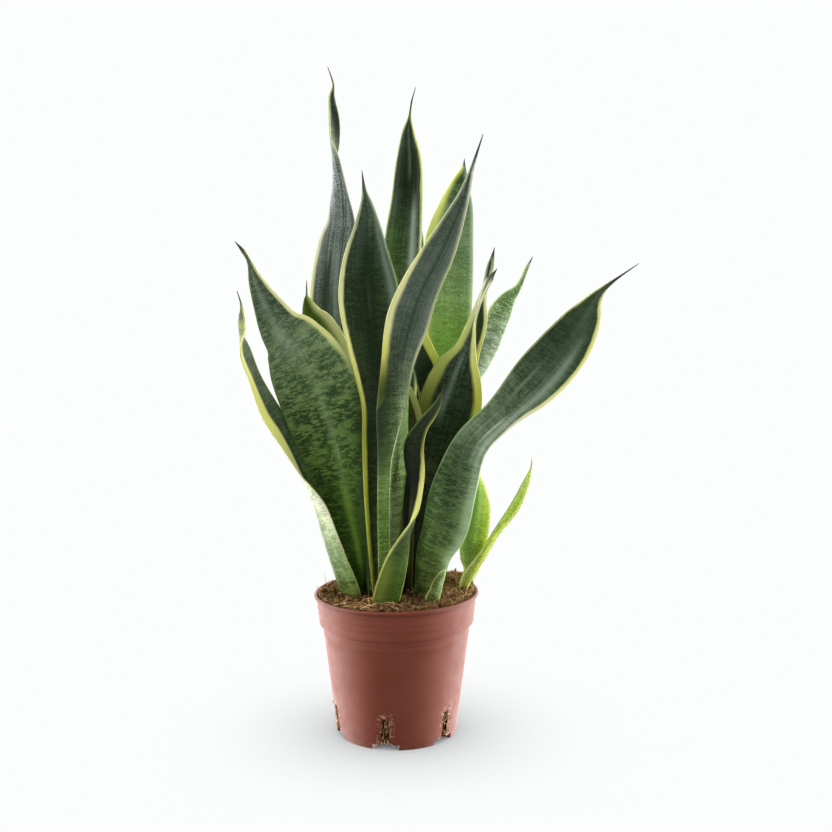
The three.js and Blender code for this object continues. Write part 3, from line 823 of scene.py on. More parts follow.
def reflected(tones, light):
    # the share of the light given back that shows as these tones where so much light falls
    return np.clip(toLinear(np.clip(tones, 0, 255)) / light, 0, 0.95)


def sideTones(side, u, height):
    # the colours that one side of a blade gives back: dark, light and margin
    # each colour is the seen tone divided by the light guessed to fall there, so it is painted lighter where
    # less light falls; leftShade scales the left wing's colour, lighter above 1 and darker below, to paint in
    # the light and shade seen on that wing
    lit, shade = stops(side["lit"], height), stops(side["leftShade"], height)
    leftLit, rightLit = (stops(side.get(name, side["lit"]), height) for name in ("leftLit", "rightLit"))
    toLeft, toRight = (np.clip(sign * 2.5 * u - 0.25, 0, 1)[:, None] for sign in (-1, 1))
    bodyLit = lit + (leftLit / shade - lit) * toLeft + (rightLit - lit) * toRight
    onLeft = u[:, None] < 0
    rim = np.where(onLeft, stops(side["leftTone"], height), stops(side["rightTone"], height))
    dark, light = stops(side["dark"], height), stops(side["light"], height)
    # the strokes paint sheen highlights and shade onto the tones, and a few streaks of the leaf's own colour
    for tone, start, end, width, strength in side["strokes"]:
        share = (height - start[0]) / (end[0] - start[0])
        middle = start[1] + (end[1] - start[1]) * np.clip(share, 0, 1)
        ends = np.clip(share * 5, 0, 1) * np.clip((1 - share) * 5, 0, 1)
        weight = (strength * ends * np.exp(-((u - middle) / width) ** 2))[:, None]
        dark = dark + (np.array(tone) - dark) * weight
        light = light + (np.array(tone) - light) * weight
    rimLit = np.where(onLeft, leftLit, rightLit)
    return reflected(dark, bodyLit), reflected(light, bodyLit), reflected(rim, rimLit)


def storeSkin(piece, node, look, u, station, values, half):
    # what the skin's colours follow: the front's points come first, the back's after them
    reach = np.unique(np.round(station, 6))
    middle = ribCurve(look["ribs"], reach)[0][:, :3]
    lengths = np.concatenate(([0], np.cumsum(np.linalg.norm(np.diff(middle, axis=0), axis=1))))
    run = np.interp(station, reach, lengths)
    height = values[:, 2]
    seed = float(sum(ord(letter) for letter in node) % 97)
    layers = {name: [] for name in ("skinPlace", "skinEdge", "skinMix", "skinDark", "skinLight", "skinRim")}
    for side in (look, {**look, **look["back"]}):
        left, right, bands, streaks, soft = (
            stops(side[name], height)[:, 0] for name in ("left", "right", "bands", "streaks", "soft"))
        fromTip = (lengths[-1] - run) / look["tip"]
        rows = ((u * half, run, np.full_like(u, seed)),
                ((u + 1) * half - left, (1 - u) * half - right, fromTip), (bands, streaks, 1 / soft))
        stored = [np.stack(row, axis=-1) for row in rows] + list(sideTones(side, u, height))
        for layer, share in zip(layers.values(), stored):
            layer.append(share)
    for name, shares in layers.items():
        layer = piece.data.attributes.new(name, "FLOAT_VECTOR", "POINT")
        layer.data.foreach_set("vector", np.concatenate(shares).astype(np.float32).ravel())


def makeBlade(node, look):
    look = {**plainBlade, **look}
    last = len(look["ribs"]) - 1
    deselectAll()
    bpy.ops.mesh.primitive_grid_add(x_subdivisions=blade["columns"],
                                    y_subdivisions=last * blade["stepsPerRib"], size=2)
    piece = nameNewest("blade_" + node.split("_", 1)[1])
    flat = pointsOf(piece)
    u = 1.22 * flat[:, 0] - 0.22 * flat[:, 0] ** 3  # closer together toward the edges
    station = (flat[:, 1] + 1) / 2 * last
    values, slopes = ribCurve(look["ribs"], station)
    along = unit(slopes[:, :3])
    across = unit(np.cross(along, (0, -1, 0)))
    face = np.cross(across, along)
    turn = np.radians(values[:, 4])[:, None]
    right = across * np.cos(turn) - face * np.sin(turn)
    front = face * np.cos(turn) + across * np.sin(turn)
    half = np.maximum(values[:, 3], blade["narrowest"])
    tipShare = np.clip((last - station) / blade["tipRun"], 0, 1)
    half = half * np.where(half < 2.5, 0.35 + 0.65 * tipShare, 1)
    flutes = blade["flutes"] * np.cos(u * blade["fluteCount"] * math.pi) * np.clip(half / 8 - 0.3, 0, 1)
    places = (values[:, :3] + right * (u * half)[:, None]
              + front * (values[:, 5] * u * u + flutes * (1 - u**2))[:, None])
    movePoints(piece, places * mm)

    # thickness: thin at the edges, and all over where the blade is narrow
    fullness = np.minimum(values[:, 3] / blade["fullWidth"], 1)
    thickness = blade["edge"] + (blade["middle"] - blade["edge"]) * fullness * (1 - u * u)
    thickness = thickness * (0.4 + 0.6 * tipShare)
    group = piece.vertex_groups.new(name="thickness")
    for index, share in enumerate(thickness / blade["middle"]):
        group.add([index], float(share), "REPLACE")
    solid = piece.modifiers.new("thickness", "SOLIDIFY")
    solid.thickness = blade["middle"] * mm
    solid.offset = 0
    solid.vertex_group = group.name
    solid.use_rim = True
    bakeModifiers(piece)
    piece.vertex_groups.clear()

    storeSkin(piece, node, look, u, station, values, half)
    piece.data.materials.append(bladeSkin(look["gloss"], look["slot"] == "young_leaf"))
    makeActive(piece)
    bpy.ops.object.shade_smooth()
    settle(piece, node)


def bladeSkin(gloss, young):
    # waxy skin: colours, margins and band strength come from what each blade stores on its points
    name = "youngSkin" if young else f"bladeSkin_{round(gloss * 100)}"
    existing = bpy.data.materials.get(name)
    if existing:
        return existing
    material, tree, shader = newMaterial(name)
    across, run, seed = split(tree, storedPart(tree, "skinPlace"))
    leftIn, rightIn, tip = split(tree, storedPart(tree, "skinEdge"))
    bands, streaks, crisp = split(tree, storedPart(tree, "skinMix"))
    darkTone, lightTone, rimTone = (storedPart(tree, name) for name in ("skinDark", "skinLight", "skinRim"))

    def over(perAcross, perRun, detail=2, roughness=0.55, distortion=0.0, along=run):
        vector = joinXyz(tree, maths(tree, "MULTIPLY", across, perAcross),
                         maths(tree, "MULTIPLY", along, perRun), seed)
        return grain(tree, vector, 1, detail, roughness, distortion)

    # short dark cross strokes, gathered in bands and feathered by lengthwise rows of cells
    shifted = maths(tree, "ADD", run, maths(tree, "MULTIPLY", over(0.9, 0.15), 3))
    strokes = between(tree, over(0.17, 0.62, 4, 0.66, 0.6, shifted), 0.40, 0.53)
    clusters = between(tree, over(0.05, 0.12, 2, 0.5, 0, shifted), 0.33, 0.52, 0.25, 1)
    fine = over(1.5, 1.1, 3, 0.7)
    banding = maths(tree, "MULTIPLY", strokes, clusters)
    banding = maths(tree, "ADD", maths(tree, "MULTIPLY", maths(tree, "SUBTRACT", 0.46, banding), bands), 0.5)
    banding = maths(tree, "ADD", banding, between(tree, fine, 0.34, 0.66, -0.5, 0.5))
    body = mixColor(tree, maths(tree, "MINIMUM", maths(tree, "MAXIMUM", banding, 0), 1), darkTone, lightTone)
    # lengthwise lines, lighter and darker: the leaf's fine striations, partly painted sheen streaks
    lines = over(0.9, 0.012, 3, 0.7)
    body = mixColor(tree, maths(tree, "MULTIPLY", between(tree, lines, 0.5, 0.75), streaks), body, lightTone)
    body = mixColor(tree, maths(tree, "MULTIPLY", between(tree, lines, 0.5, 0.3), streaks), body, darkTone)

    # margins: streaked band with a wandering inner edge
    wander = maths(tree, "MULTIPLY", maths(tree, "SUBTRACT", over(0.3, 0.06, 3, 0.6), 0.5), 1.6)
    inside = maths(tree, "ADD", maths(tree, "MINIMUM", leftIn, rightIn), wander)
    rimLines = between(tree, over(2.4, 0.02, 2, 0.6), 0.5, 0.8, 0, 0.35)
    rim = mixColor(tree, rimLines, rimTone, mixColor(tree, 0.45, rimTone, lightTone))
    rim = mixColor(tree, between(tree, inside, -2.2, -0.3, 0, 0.35), rim,
                   mixColor(tree, 0.5, rimTone, lightTone))
    rimShare = between(tree, maths(tree, "MULTIPLY", inside, crisp), -0.9, 0.6, 1, 0)
    color = mixColor(tree, rimShare, body, rim)
    color = mixColor(tree, between(tree, tip, 0.45, 1, 0.92, 0), color, paint(blade["tipTone"], 0.8))
    plug(tree, shader.inputs["Base Color"], color)
    plug(tree, shader.inputs["Roughness"], between(tree, fine, 0.3, 0.7, 0.36, 0.46))
    shader.inputs["IOR"].default_value = gloss
    if young:
        # thin and soft enough for light to come through
        shader.inputs["Subsurface Weight"].default_value = 1
        shader.inputs["Subsurface Radius"].default_value = (1, 1, 0.6)
        shader.inputs["Subsurface Scale"].default_value = blade["youngDepth"] * mm
    relief = maths(tree, "ADD", maths(tree, "MULTIPLY", lines, 0.8), maths(tree, "MULTIPLY", fine, 0.5))
    addBump(tree, shader, relief, 0.18 * mm, 0.6)
    return material


# what a blade has where its own entry doesn't say
plainBlade = {
    "slot": "leaf",
    "gloss": 1.2,
    "tip": 8,                       # length of the brown tip
    # the colour is the tone divided by lit, so it is painted lighter where less light falls
    "lit": 0.7,                     # light that falls on the middle, with leftLit and rightLit beside it
    # leftShade paints the light and shade seen on the left wing into its colour
    "leftShade": 1,
    "bands": 0.6,                   # strength of the dark cross bands
    # streaks: the leaf's fine lengthwise striations, partly painted sheen
    "streaks": 0.3,
    "soft": 1,                      # softness of the margins' inner edge
    # strokes paint sheen highlights and shade, and a few streaks of the leaf's own colour
    "strokes": (),
    "left": 0, "right": 0,          # width of the margins
    "leftTone": (200, 200, 110), "rightTone": (200, 200, 110),
    "back": {"lit": 1.1, "leftLit": 1.1, "rightLit": 1.1, "strokes": ()},  # where the front view hides it
}

# Each rib is x, y, z, half width, turn in degrees and cupping, from the foot to the tip. A value or a tone
# that changes along the blade is a list of pairs, the height first. Each stroke is a tone, its two ends
# as height and place across from -1 to 1, its width and its strength.
# Most strokes paint sheen highlights and shade; a few are streaks of the leaf's own colour.
blades = {
    "leaf_far_left": {
        "tip": 14,
        "ribs": [
            (-34, -13.5, 79, 11, -50, -4), (-36, -14, 104, 13, -50, -4),
            (-44.5, -14.5, 129.5, 13, -57, -4), (-50, -14, 146, 14, -63, -4),
            (-56, -13.5, 166, 13.5, -70, -4), (-62.5, -11, 182, 14.5, -91, -4),
            (-65.5, -10, 192, 13.5, -108, -3.5), (-75.5, -10, 213.5, 12.5, -120, -2),
            (-89.3, -15.5, 236.5, 11, -121, -1.5), (-98.8, -21, 260.5, 7.5, -117, -1),
            (-105.4, -25.5, 281.5, 8, -107, -1), (-106.5, -28, 295.5, 5.5, -60, -1),
            (-105.5, -29, 310, 1.1, -20, 0), (-108.5, -30, 322, 0.6, 0, 0),
        ],
        "gloss": 1.08,
        "lit": [(105, 0.8), (165, 1.15), (225, 0.5), (255, 0.7), (285, 1.25), (320, 1.1)],
        "dark": [(105, (12, 24, 4)), (120, (50, 68, 30)), (135, (90, 108, 68)), (165, (128, 144, 108)),
                 (196, (140, 154, 120)), (215, (46, 62, 40)), (270, (50, 66, 44)), (285, (90, 104, 84)),
                 (320, (96, 110, 94))],
        "light": [(105, (88, 104, 46)), (135, (146, 165, 122)), (165, (212, 216, 182)),
                  (196, (224, 228, 196)), (215, (104, 122, 84)), (270, (108, 126, 84)),
                  (285, (170, 178, 92)), (320, (153, 163, 133))],
        "bands": 0.8,
        "left": 0, "right": [(110, 0.5), (185, 1.0), (215, 1.0)],
        "rightTone": [(120, (180, 180, 110)), (150, (214, 210, 152)), (280, (230, 229, 146)),
                      (310, (216, 218, 150))],
        "rightLit": [(120, 0.5), (180, 0.65), (290, 0.9)],
        "back": {
            "lit": [(195, 0.3), (225, 0.5), (285, 0.93)],
            "dark": [(190, (34, 46, 26)), (225, (38, 50, 34)), (255, (62, 74, 58)), (290, (86, 98, 76))],
            "light": [(190, (58, 76, 40)), (225, (68, 84, 56)), (255, (92, 106, 84)),
                      (290, (112, 126, 100))],
            "left": 0.4,
            "right": [(180, 4), (205, 7.5), (226, 9.5), (245, 7.5), (260, 5), (278, 4), (292, 4)],
            "rightTone": [(180, (222, 222, 162)), (215, (208, 207, 122)), (245, (207, 206, 116)),
                          (275, (225, 224, 142))],
            "rightLit": [(180, 0.55), (225, 0.63), (285, 0.97)],
        },
    },
    "leaf_left_broad": {
        "tip": 12,
        "ribs": [
            (-23, -9.5, 79, 9.5, -45, 4), (-24, -10, 104, 11, -45, 4),
            (-29, -9, 135.5, 12.5, -28, 3.5), (-36, -9, 165.5, 17, -16, 3),
            (-41.5, -9, 198.5, 21.5, -9, 3), (-47, -9, 223.5, 27, -6, 3),
            (-54, -10, 249.5, 29.5, -5, 3), (-63, -13, 271.5, 27.5, -3, 2.5),
            (-72, -15, 287, 21.5, 0, 2), (-80.5, -16, 297, 15.5, 0, 2),
            (-87.3, -17, 309, 11.3, 0, 2), (-96, -19, 327, 5.8, 0, 1), (-100.4, -22, 341, 1.9, 0, 0),
            (-104, -26, 348.5, 1.3, 0, 0.5), (-109.5, -29, 355.5, 0.6, 0, 0),
        ],
        "gloss": 1.15,
        "lit": [(110, 0.1), (135, 0.14), (165, 0.23), (195, 0.39), (225, 0.46), (255, 0.51), (285, 0.58),
                (315, 0.67)],
        "dark": [(110, (24, 37, 13)), (165, (27, 42, 16)), (225, (31, 48, 24)), (255, (44, 62, 37)),
                 (285, (62, 82, 56)), (315, (40, 54, 38)), (345, (58, 72, 56))],
        "light": [(110, (36, 54, 18)), (135, (52, 72, 28)), (165, (62, 86, 32)), (195, (82, 106, 46)),
                  (225, (88, 112, 58)), (285, (116, 134, 96)), (315, (90, 106, 84)), (345, (98, 112, 94))],
        "bands": [(110, 0.6), (230, 1.3), (290, 1.1), (330, 0.5)],
        # darker down the lower right edge, the leaf's own bright green low down, and painted sheen along the
        # middle
        "strokes": [((26, 40, 17), (100, 1), (255, 1), 0.3, 0.9),
                    ((92, 122, 46), (112, 0.35), (190, 0.1), 0.22, 0.75),
                    ((120, 140, 98), (175, 0.15), (290, -0.1), 0.12, 0.45),
                    ((138, 150, 130), (270, -0.2), (345, -0.2), 0.25, 0.45)],
        "left": [(180, 0.6), (300, 1.0), (345, 0.6), (355, 0)],
        "right": [(170, -0.8), (240, -0.8), (252, 1.5), (262, 3), (275, 5), (285, 4), (300, 3), (340, 1.2),
                  (352, 0)],
        "soft": [(250, 4), (280, 2.5), (300, 1)],
        "leftTone": [(200, (90, 104, 62)), (300, (104, 116, 66)), (350, (124, 132, 84))],
        "rightTone": [(180, (100, 108, 90)), (255, (130, 142, 96)), (275, (176, 183, 122)),
                      (290, (218, 220, 134)), (310, (228, 230, 158)), (345, (205, 208, 155))],
        "rightLit": [(135, 0.3), (195, 0.5), (255, 0.51), (285, 0.57), (315, 0.68), (345, 0.77)],
    },
    "leaf_back_left_tall": {
        "tip": 16,
        "ribs": [
            (-19, 13.5, 79, 9.5, 0, -6), (-20, 14, 104, 11, 0, -6), (-34, 16.5, 168, 11, 0, -6),
            (-39.5, 20.5, 219.5, 14, 0, -5), (-45, 25, 271, 16.5, 0, -4),
            (-47, 29.5, 315, 17.5, 0, -4), (-44.5, 34, 352, 15, -5, -4),
            (-42, 36.5, 373.5, 10.5, -8, -4), (-43.5, 39.5, 396, 6, -15, -3.5),
            (-46, 41.5, 413, 4.5, -50, -3), (-47.5, 44, 430.5, 5, -120, -3),
            (-46.5, 46.5, 447.5, 3.9, -165, -2), (-48, 48.5, 463.5, 2.2, -178, -1),
            (-47, 50, 473.5, 0.7, -180, 0), (-51, 52, 486.5, 0.6, -180, 0),
        ],
        "gloss": 1.25,
        "lit": [(300, 0.68), (345, 0.8), (375, 0.88), (405, 0.94)],
        "dark": [(110, (26, 38, 22)), (300, (29, 42, 26)), (320, (36, 49, 34)), (345, (46, 59, 46)),
                 (375, (40, 52, 42)), (408, (26, 38, 26)), (430, (40, 54, 38))],
        "light": [(110, (60, 80, 50)), (300, (88, 102, 86)), (320, (104, 116, 104)), (345, (130, 143, 132)),
                  (375, (152, 163, 156)), (408, (196, 205, 202)), (430, (90, 106, 82))],
        "bands": 0.3, "streaks": 0.95,
        # a darker band left of the middle, a darker right edge, and a painted sheen streak near the middle
        "strokes": [((34, 48, 32), (285, -0.35), (345, -0.3), 0.16, 0.75),
                    ((30, 42, 32), (340, 0.95), (425, 0.95), 0.22, 0.8),
                    ((150, 160, 152), (290, 0.15), (360, 0.05), 0.14, 0.5)],
        "left": [(120, 1), (300, 3), (373, 3), (385, 1), (430, 0.6)], "right": [(120, 1), (400, 0.8)],
        "leftTone": [(300, (206, 211, 138)), (345, (206, 210, 156)), (370, (196, 200, 168))],
        "leftLit": [(315, 0.92), (345, 1.12), (375, 1.35)],
        "rightTone": [(300, (186, 191, 148)), (330, (138, 148, 120)), (400, (150, 158, 130))],
        "rightLit": [(285, 0.4), (315, 0.78), (345, 0.93), (405, 0.8)],
        "back": {
            "lit": [(390, 1.2), (420, 0.82), (435, 0.82), (465, 0.64)],
            "dark": [(390, (34, 48, 30)), (412, (74, 92, 76)), (432, (62, 78, 64)), (450, (20, 32, 22)),
                     (465, (20, 32, 22))],
            "light": [(390, (84, 102, 76)), (412, (156, 164, 140)), (432, (140, 150, 118)),
                      (450, (78, 92, 82)), (465, (78, 92, 82))],
            "streaks": 0.6, "left": 0.3, "right": 1.0, "leftTone": (150, 158, 110),
            "rightTone": (200, 206, 140),
        },
    },
    "leaf_centre_left": {
        "tip": 16,
        "ribs": [
            (-11.5, -13.5, 79, 9.5, 40, 8), (-12, -14, 104, 11, 40, 8), (-13, -14, 134, 12, 36, 7),
            (-13.5, -14, 175.5, 13.5, 32, 6), (-12.5, -14, 212.5, 14.5, 26, 5.5),
            (-11.5, -14, 245, 15, 20, 5), (-15.5, -14, 282, 19, 14, 5),
            (-18.5, -14, 316, 21.5, 8, 4), (-20, -13, 342, 17, 3, 3),
            (-19.5, -14, 364, 10, 2, 2.5), (-20, -14, 381, 4.5, 0, 1.5),
            (-21.5, -15, 391, 1.6, 0, 0), (-23, -16, 404.5, 0.6, 0, 0),
        ],
        "gloss": 1.06,
        "lit": [(110, 0.15), (165, 0.24), (195, 0.38), (225, 0.49), (255, 0.65), (345, 0.66), (400, 0.75)],
        "dark": [(110, (26, 38, 14)), (165, (20, 30, 13)), (225, (14, 22, 12)), (255, (17, 24, 17)),
                 (285, (22, 31, 20)), (345, (19, 28, 18)), (375, (20, 31, 19)), (400, (28, 40, 26))],
        "light": [(110, (50, 66, 28)), (165, (42, 56, 25)), (225, (38, 48, 27)), (255, (44, 54, 36)),
                  (285, (56, 70, 42)), (345, (70, 87, 60)), (375, (96, 110, 92))],
        "bands": [(110, 0.8), (240, 0.5), (380, 0.35)], "streaks": 0.6,
        "soft": [(110, 2), (235, 1.6), (260, 1)],
        "left": [(110, 4.5), (200, 4), (235, 3.2), (262, 3.2), (330, 3.2), (370, 1.6), (400, 0.5)],
        "right": [(110, 1), (300, 2), (390, 1)],
        "leftTone": [(105, (120, 122, 46)), (165, (136, 143, 56)), (195, (150, 157, 62)),
                     (225, (136, 139, 57)), (255, (172, 174, 88)), (285, (218, 217, 137)),
                     (345, (214, 216, 158)), (375, (168, 176, 138))],
        "leftLit": [(105, 0.16), (165, 0.28), (195, 0.35), (225, 0.51), (255, 0.65), (315, 0.74),
                    (375, 0.83)],
        "rightTone": [(240, (160, 162, 78)), (270, (185, 187, 98)), (300, (130, 142, 85)),
                      (340, (120, 132, 108)), (380, (150, 160, 130))],
        # painted sheen down the right side and on the left, a painted highlight line in the middle, and a
        # darker middle
        "strokes": [((112, 126, 118), (290, 0.82), (385, 0.7), 0.16, 0.8),
                    ((66, 80, 68), (330, -0.35), (390, -0.4), 0.3, 0.7),
                    ((92, 104, 92), (300, 0.02), (345, -0.04), 0.025, 0.7),
                    ((22, 32, 20), (250, 0), (372, 0), 0.35, 0.6)],
    },
    "leaf_left_short": {
        "tip": 12,
        "ribs": [
            (-11.5, 2, 79, 7, 0, 4), (-12, 2, 104, 8, 0, 4), (-13.5, 3, 171, 7, 0, 4),
            (-25.5, 4, 220, 10, 0, 3), (-44, 5.5, 273.5, 12.5, 0, 3),
            (-54.5, 6, 295.5, 11.5, 0, 2.5), (-60.5, 6, 306, 7, 0, 2),
            (-63.5, 6.5, 315, 2.7, 0, 1), (-64, 6.5, 319.5, 0.7, 0, 0), (-64, 7, 329, 0.6, 0, 0),
        ],
        "lit": 0.38,
        "dark": [(285, (46, 66, 18)), (315, (26, 46, 6))],
        "light": [(285, (92, 112, 48)), (315, (44, 66, 18))],
        "bands": 0.5, "soft": 5,
        "left": 0.3, "right": [(260, 7.5), (300, 5.8), (315, 2)], "leftTone": (110, 122, 64),
        "rightTone": [(270, (182, 197, 102)), (300, (192, 206, 122)), (320, (140, 154, 90))],
    },
    "leaf_front": {
        "tip": 26,
        "ribs": [
            (-3, -19, 79, 5, -35, 8), (-3, -20, 104, 6, -35, 8), (0, -21.5, 134.5, 6, -42, 12),
            (4, -25, 175.5, 7, -50, 16), (7.5, -28.5, 210.5, 8, -50, 19),
            (6, -32, 239.5, 12, -42, 15), (4.5, -36, 271.5, 11.5, -20, 9),
            (9, -40, 300.5, 14.5, -8, 5), (17, -43.5, 323.5, 13, -4, 4),
            (28.5, -46.5, 345.5, 11, -2, 3.5), (37, -49.5, 363.5, 8, 0, 3),
            (46, -53.5, 385, 3.7, 0, 2), (51.5, -56.5, 403.5, 1, 0, 1),
            (58, -60, 423.5, 0.6, 0, 0),
        ],
        "lit": [(135, 0.75), (165, 0.69), (195, 0.51), (225, 0.58), (255, 0.62), (285, 0.7), (375, 0.67)],
        "dark": [(110, (46, 60, 28)), (165, (66, 84, 34)), (195, (100, 124, 66)), (225, (74, 92, 64)),
                 (255, (58, 71, 58)), (285, (42, 54, 43)), (315, (52, 64, 56)), (345, (53, 66, 58)),
                 (375, (41, 54, 43))],
        "light": [(110, (92, 110, 60)), (165, (120, 140, 82)), (195, (184, 203, 146)),
                  (225, (190, 208, 156)), (255, (120, 138, 96)), (285, (84, 100, 78)), (315, (98, 111, 96)),
                  (375, (94, 107, 90))],
        "bands": [(110, 0.8), (240, 0.7), (320, 0.3)], "streaks": [(110, 0.3), (260, 0.6)],
        "left": [(110, -1), (238, -1), (250, 2.6), (262, 2.6), (276, 3), (295, 4.4), (315, 4), (332, 2.8),
                 (347, 1.4), (400, 0.8)],
        "right": [(110, 0), (250, 0.2), (265, 1.3), (345, 1.3), (400, 0.8)],
        "soft": [(250, 1), (276, 2), (320, 1.5)],
        # painted shade on the outer left wing, a darker line along the middle, and painted sheen down the
        # right side
        "strokes": [((56, 70, 42), (132, -1), (275, -1), 0.45, 0.5),
                    ((44, 55, 40), (185, -1), (280, -1), 0.45, 0.65),
                    ((34, 44, 38), (262, 0.1), (400, 0.2), 0.1, 0.6),
                    ((108, 120, 106), (285, 0.75), (400, 0.7), 0.18, 0.4)],
        "leftTone": [(110, (118, 136, 84)), (195, (126, 144, 100)), (225, (116, 132, 96)),
                     (254, (60, 68, 30)), (263, (90, 95, 42)), (277, (180, 180, 88)),
                     (295, (228, 228, 142)), (335, (230, 231, 156)), (360, (172, 186, 140)),
                     (400, (155, 165, 150))],
        "leftLit": [(110, 0.2), (165, 0.26), (225, 0.3), (255, 0.38), (285, 0.6), (315, 0.69), (375, 0.8)],
        # leftShade paints the light and shade seen on the left wing
        "leftShade": [(120, 1.5), (140, 1.25), (165, 1.1), (195, 0.75), (225, 0.5), (255, 0.5), (285, 1)],
        "rightTone": [(135, (125, 142, 92)), (165, (120, 138, 88)), (195, (160, 178, 130)),
                      (225, (172, 190, 144)), (255, (115, 127, 90)), (285, (205, 204, 156)),
                      (330, (168, 176, 122)), (375, (190, 196, 165)), (400, (220, 221, 210))],
        "rightLit": [(165, 0.74), (195, 0.77), (225, 0.52), (255, 0.67), (285, 0.9), (375, 0.85),
                     (400, 0.65)],
        "back": {
            "lit": [(135, 0.86), (195, 0.86), (225, 1.1)],
            "dark": [(110, (30, 42, 10)), (165, (24, 34, 8)), (195, (28, 40, 12)), (225, (66, 88, 50))],
            "light": [(110, (66, 82, 34)), (165, (64, 80, 34)), (195, (98, 120, 62)),
                      (225, (120, 144, 86))],
            "leftTone": [(120, (108, 123, 76)), (180, (122, 140, 96)), (225, (115, 132, 98)),
                         (250, (70, 80, 52)), (285, (125, 128, 80)), (315, (155, 162, 105)),
                         (345, (180, 192, 112)), (375, (155, 166, 130))],
            "leftLit": [(135, 0.42), (195, 0.6), (225, 0.41), (285, 0.62), (315, 0.73)], "leftShade": 1,
            "rightTone": [(110, (106, 123, 58)), (165, (118, 137, 84)), (195, (139, 160, 110)),
                          (225, (137, 159, 112)), (255, (122, 140, 102)), (285, (95, 105, 76)),
                          (315, (125, 136, 100)), (345, (158, 165, 110))],
            "rightLit": [(135, 0.6), (195, 0.52), (225, 0.73), (255, 0.9), (300, 0.76)],
        },
    },
    "leaf_front_small": {
        "tip": 10,
        "ribs": [
            (-5.5, -38, 79, 8, 12, -4), (-6, -40, 104, 9.5, 12, -4),
            (-1.2, -40.5, 124.5, 9, 12, -4), (3.7, -42, 141, 7, 22, -3),
            (8, -43.5, 154.5, 4.6, 50, -1), (11.5, -44, 165, 4.6, 76, 1),
            (12.7, -44.5, 175, 6, 100, 3), (12.6, -46, 196.5, 8.5, 135, 2),
            (12.9, -48.5, 217, 7.5, 152, 0), (18, -50.5, 230, 4.6, 165, -1),
            (24.8, -51.5, 239.5, 3.4, 170, -1), (29.4, -52.5, 247.5, 2.2, 173, 0),
            (33.8, -54, 259.5, 0.6, 175, 0),
        ],
        "gloss": 1.04,
        "lit": [(105, 0.72), (135, 0.84), (165, 1.05)],
        "dark": [(105, (34, 49, 14)), (135, (52, 73, 34)), (165, (54, 68, 47))],
        "light": [(105, (62, 86, 30)), (135, (84, 106, 54)), (165, (86, 105, 74))],
        "bands": 0.5,
        "left": [(110, 0.9), (135, 1.2), (150, 1.6)], "right": 0.8,
        "strokes": [((118, 130, 56), (95, -0.55), (140, -0.5), 0.5, 0.6)],
        "leftTone": [(105, (132, 130, 62)), (135, (170, 173, 98)), (165, (196, 199, 114))],
        "leftLit": 0.85, "rightTone": (150, 156, 90),
        "back": {
            "lit": [(195, 0.86), (225, 0.76)],
            "dark": [(165, (22, 27, 21)), (195, (17, 21, 18)), (225, (22, 28, 24)), (255, (42, 49, 41))],
            "light": [(165, (44, 50, 36)), (195, (32, 38, 30)), (225, (52, 61, 40)), (255, (64, 74, 62))],
            "bands": 0.3,
            "left": [(150, 2.2), (175, 3), (200, 2.7), (217, 1.7), (232, 1.1), (255, 0.9)],
            "right": [(210, 0), (219, 1), (255, 0.8)],
            "leftTone": [(130, (205, 206, 122)), (165, (202, 204, 124)), (190, (222, 219, 132)),
                         (205, (205, 201, 112)), (217, (135, 138, 60)), (225, (110, 115, 52)),
                         (250, (96, 106, 52))],
            "rightTone": [(205, (34, 40, 30)), (217, (92, 102, 48)), (255, (90, 104, 56))],
            "rightLit": 0.78,
        },
    },
    "leaf_back_right": {
        "tip": 7,
        "ribs": [
            (23, 24, 81, 7.5, 0, -4), (24, 25, 106, 9, 0, -4), (30, 29.5, 165.5, 9.5, 0, -5),
            (34.5, 34.5, 218, 14, 0, -4), (37.5, 39.5, 271, 17, 0, -4),
            (37.5, 44, 315, 19.5, 0, -4), (39, 48.5, 355, 18.5, 0, -4),
            (44, 51.5, 382.5, 13.5, 0, -3), (47.5, 54, 402.5, 6.5, 0, -2),
            (50, 55, 412.5, 1.9, 0, 0), (50.5, 56, 420, 0.6, 0, 0),
        ],
        "lit": [(285, 0.44), (315, 0.61), (345, 0.77), (375, 0.84), (405, 0.76)],
        "dark": [(270, (80, 116, 36)), (300, (76, 110, 38)), (345, (60, 88, 42)), (375, (66, 90, 54)),
                 (405, (34, 54, 22))],
        "light": [(285, (126, 162, 78)), (315, (148, 176, 114)), (345, (138, 166, 115)),
                  (375, (136, 160, 120)), (405, (84, 108, 70))],
        "bands": [(110, 0.3), (360, 0.4), (410, 0.8)], "soft": 4,
        "left": [(200, 3), (300, 7), (360, 8.5), (400, 3)], "right": [(200, 2), (400, 2.5)],
        "leftTone": [(270, (150, 176, 84)), (345, (216, 225, 128)), (400, (206, 216, 112))],
        "rightTone": [(285, (200, 214, 180)), (315, (208, 221, 195)), (345, (180, 196, 168)),
                      (375, (170, 186, 158)), (405, (150, 168, 135))],
        "rightLit": [(285, 0.6), (315, 0.83), (345, 0.97)],
    },
    "leaf_right_inner": {
        "tip": 14,
        "ribs": [
            (8.5, 0, 79, 7.5, -8, 4), (9, 0, 104, 9, -8, 4), (14.5, -2, 134.5, 8.5, -5, 4),
            (21, -3, 171.5, 15, 0, 4), (31.5, -4, 213, 20, 0, 4), (38.5, -4, 240.5, 22.5, 0, 4),
            (43.5, -4, 264.5, 17, 0, 4), (50, -4, 283, 7, 0, 3), (57, -4, 306, 2.5, -40, 2),
            (65, -4, 326.5, 3.2, -50, 1), (71.5, -4, 337.5, 0.6, 0, 0),
        ],
        "gloss": 1.15,
        "lit": [(110, 0.12), (165, 0.25), (225, 0.29), (255, 0.47), (285, 0.52), (320, 1.0)],
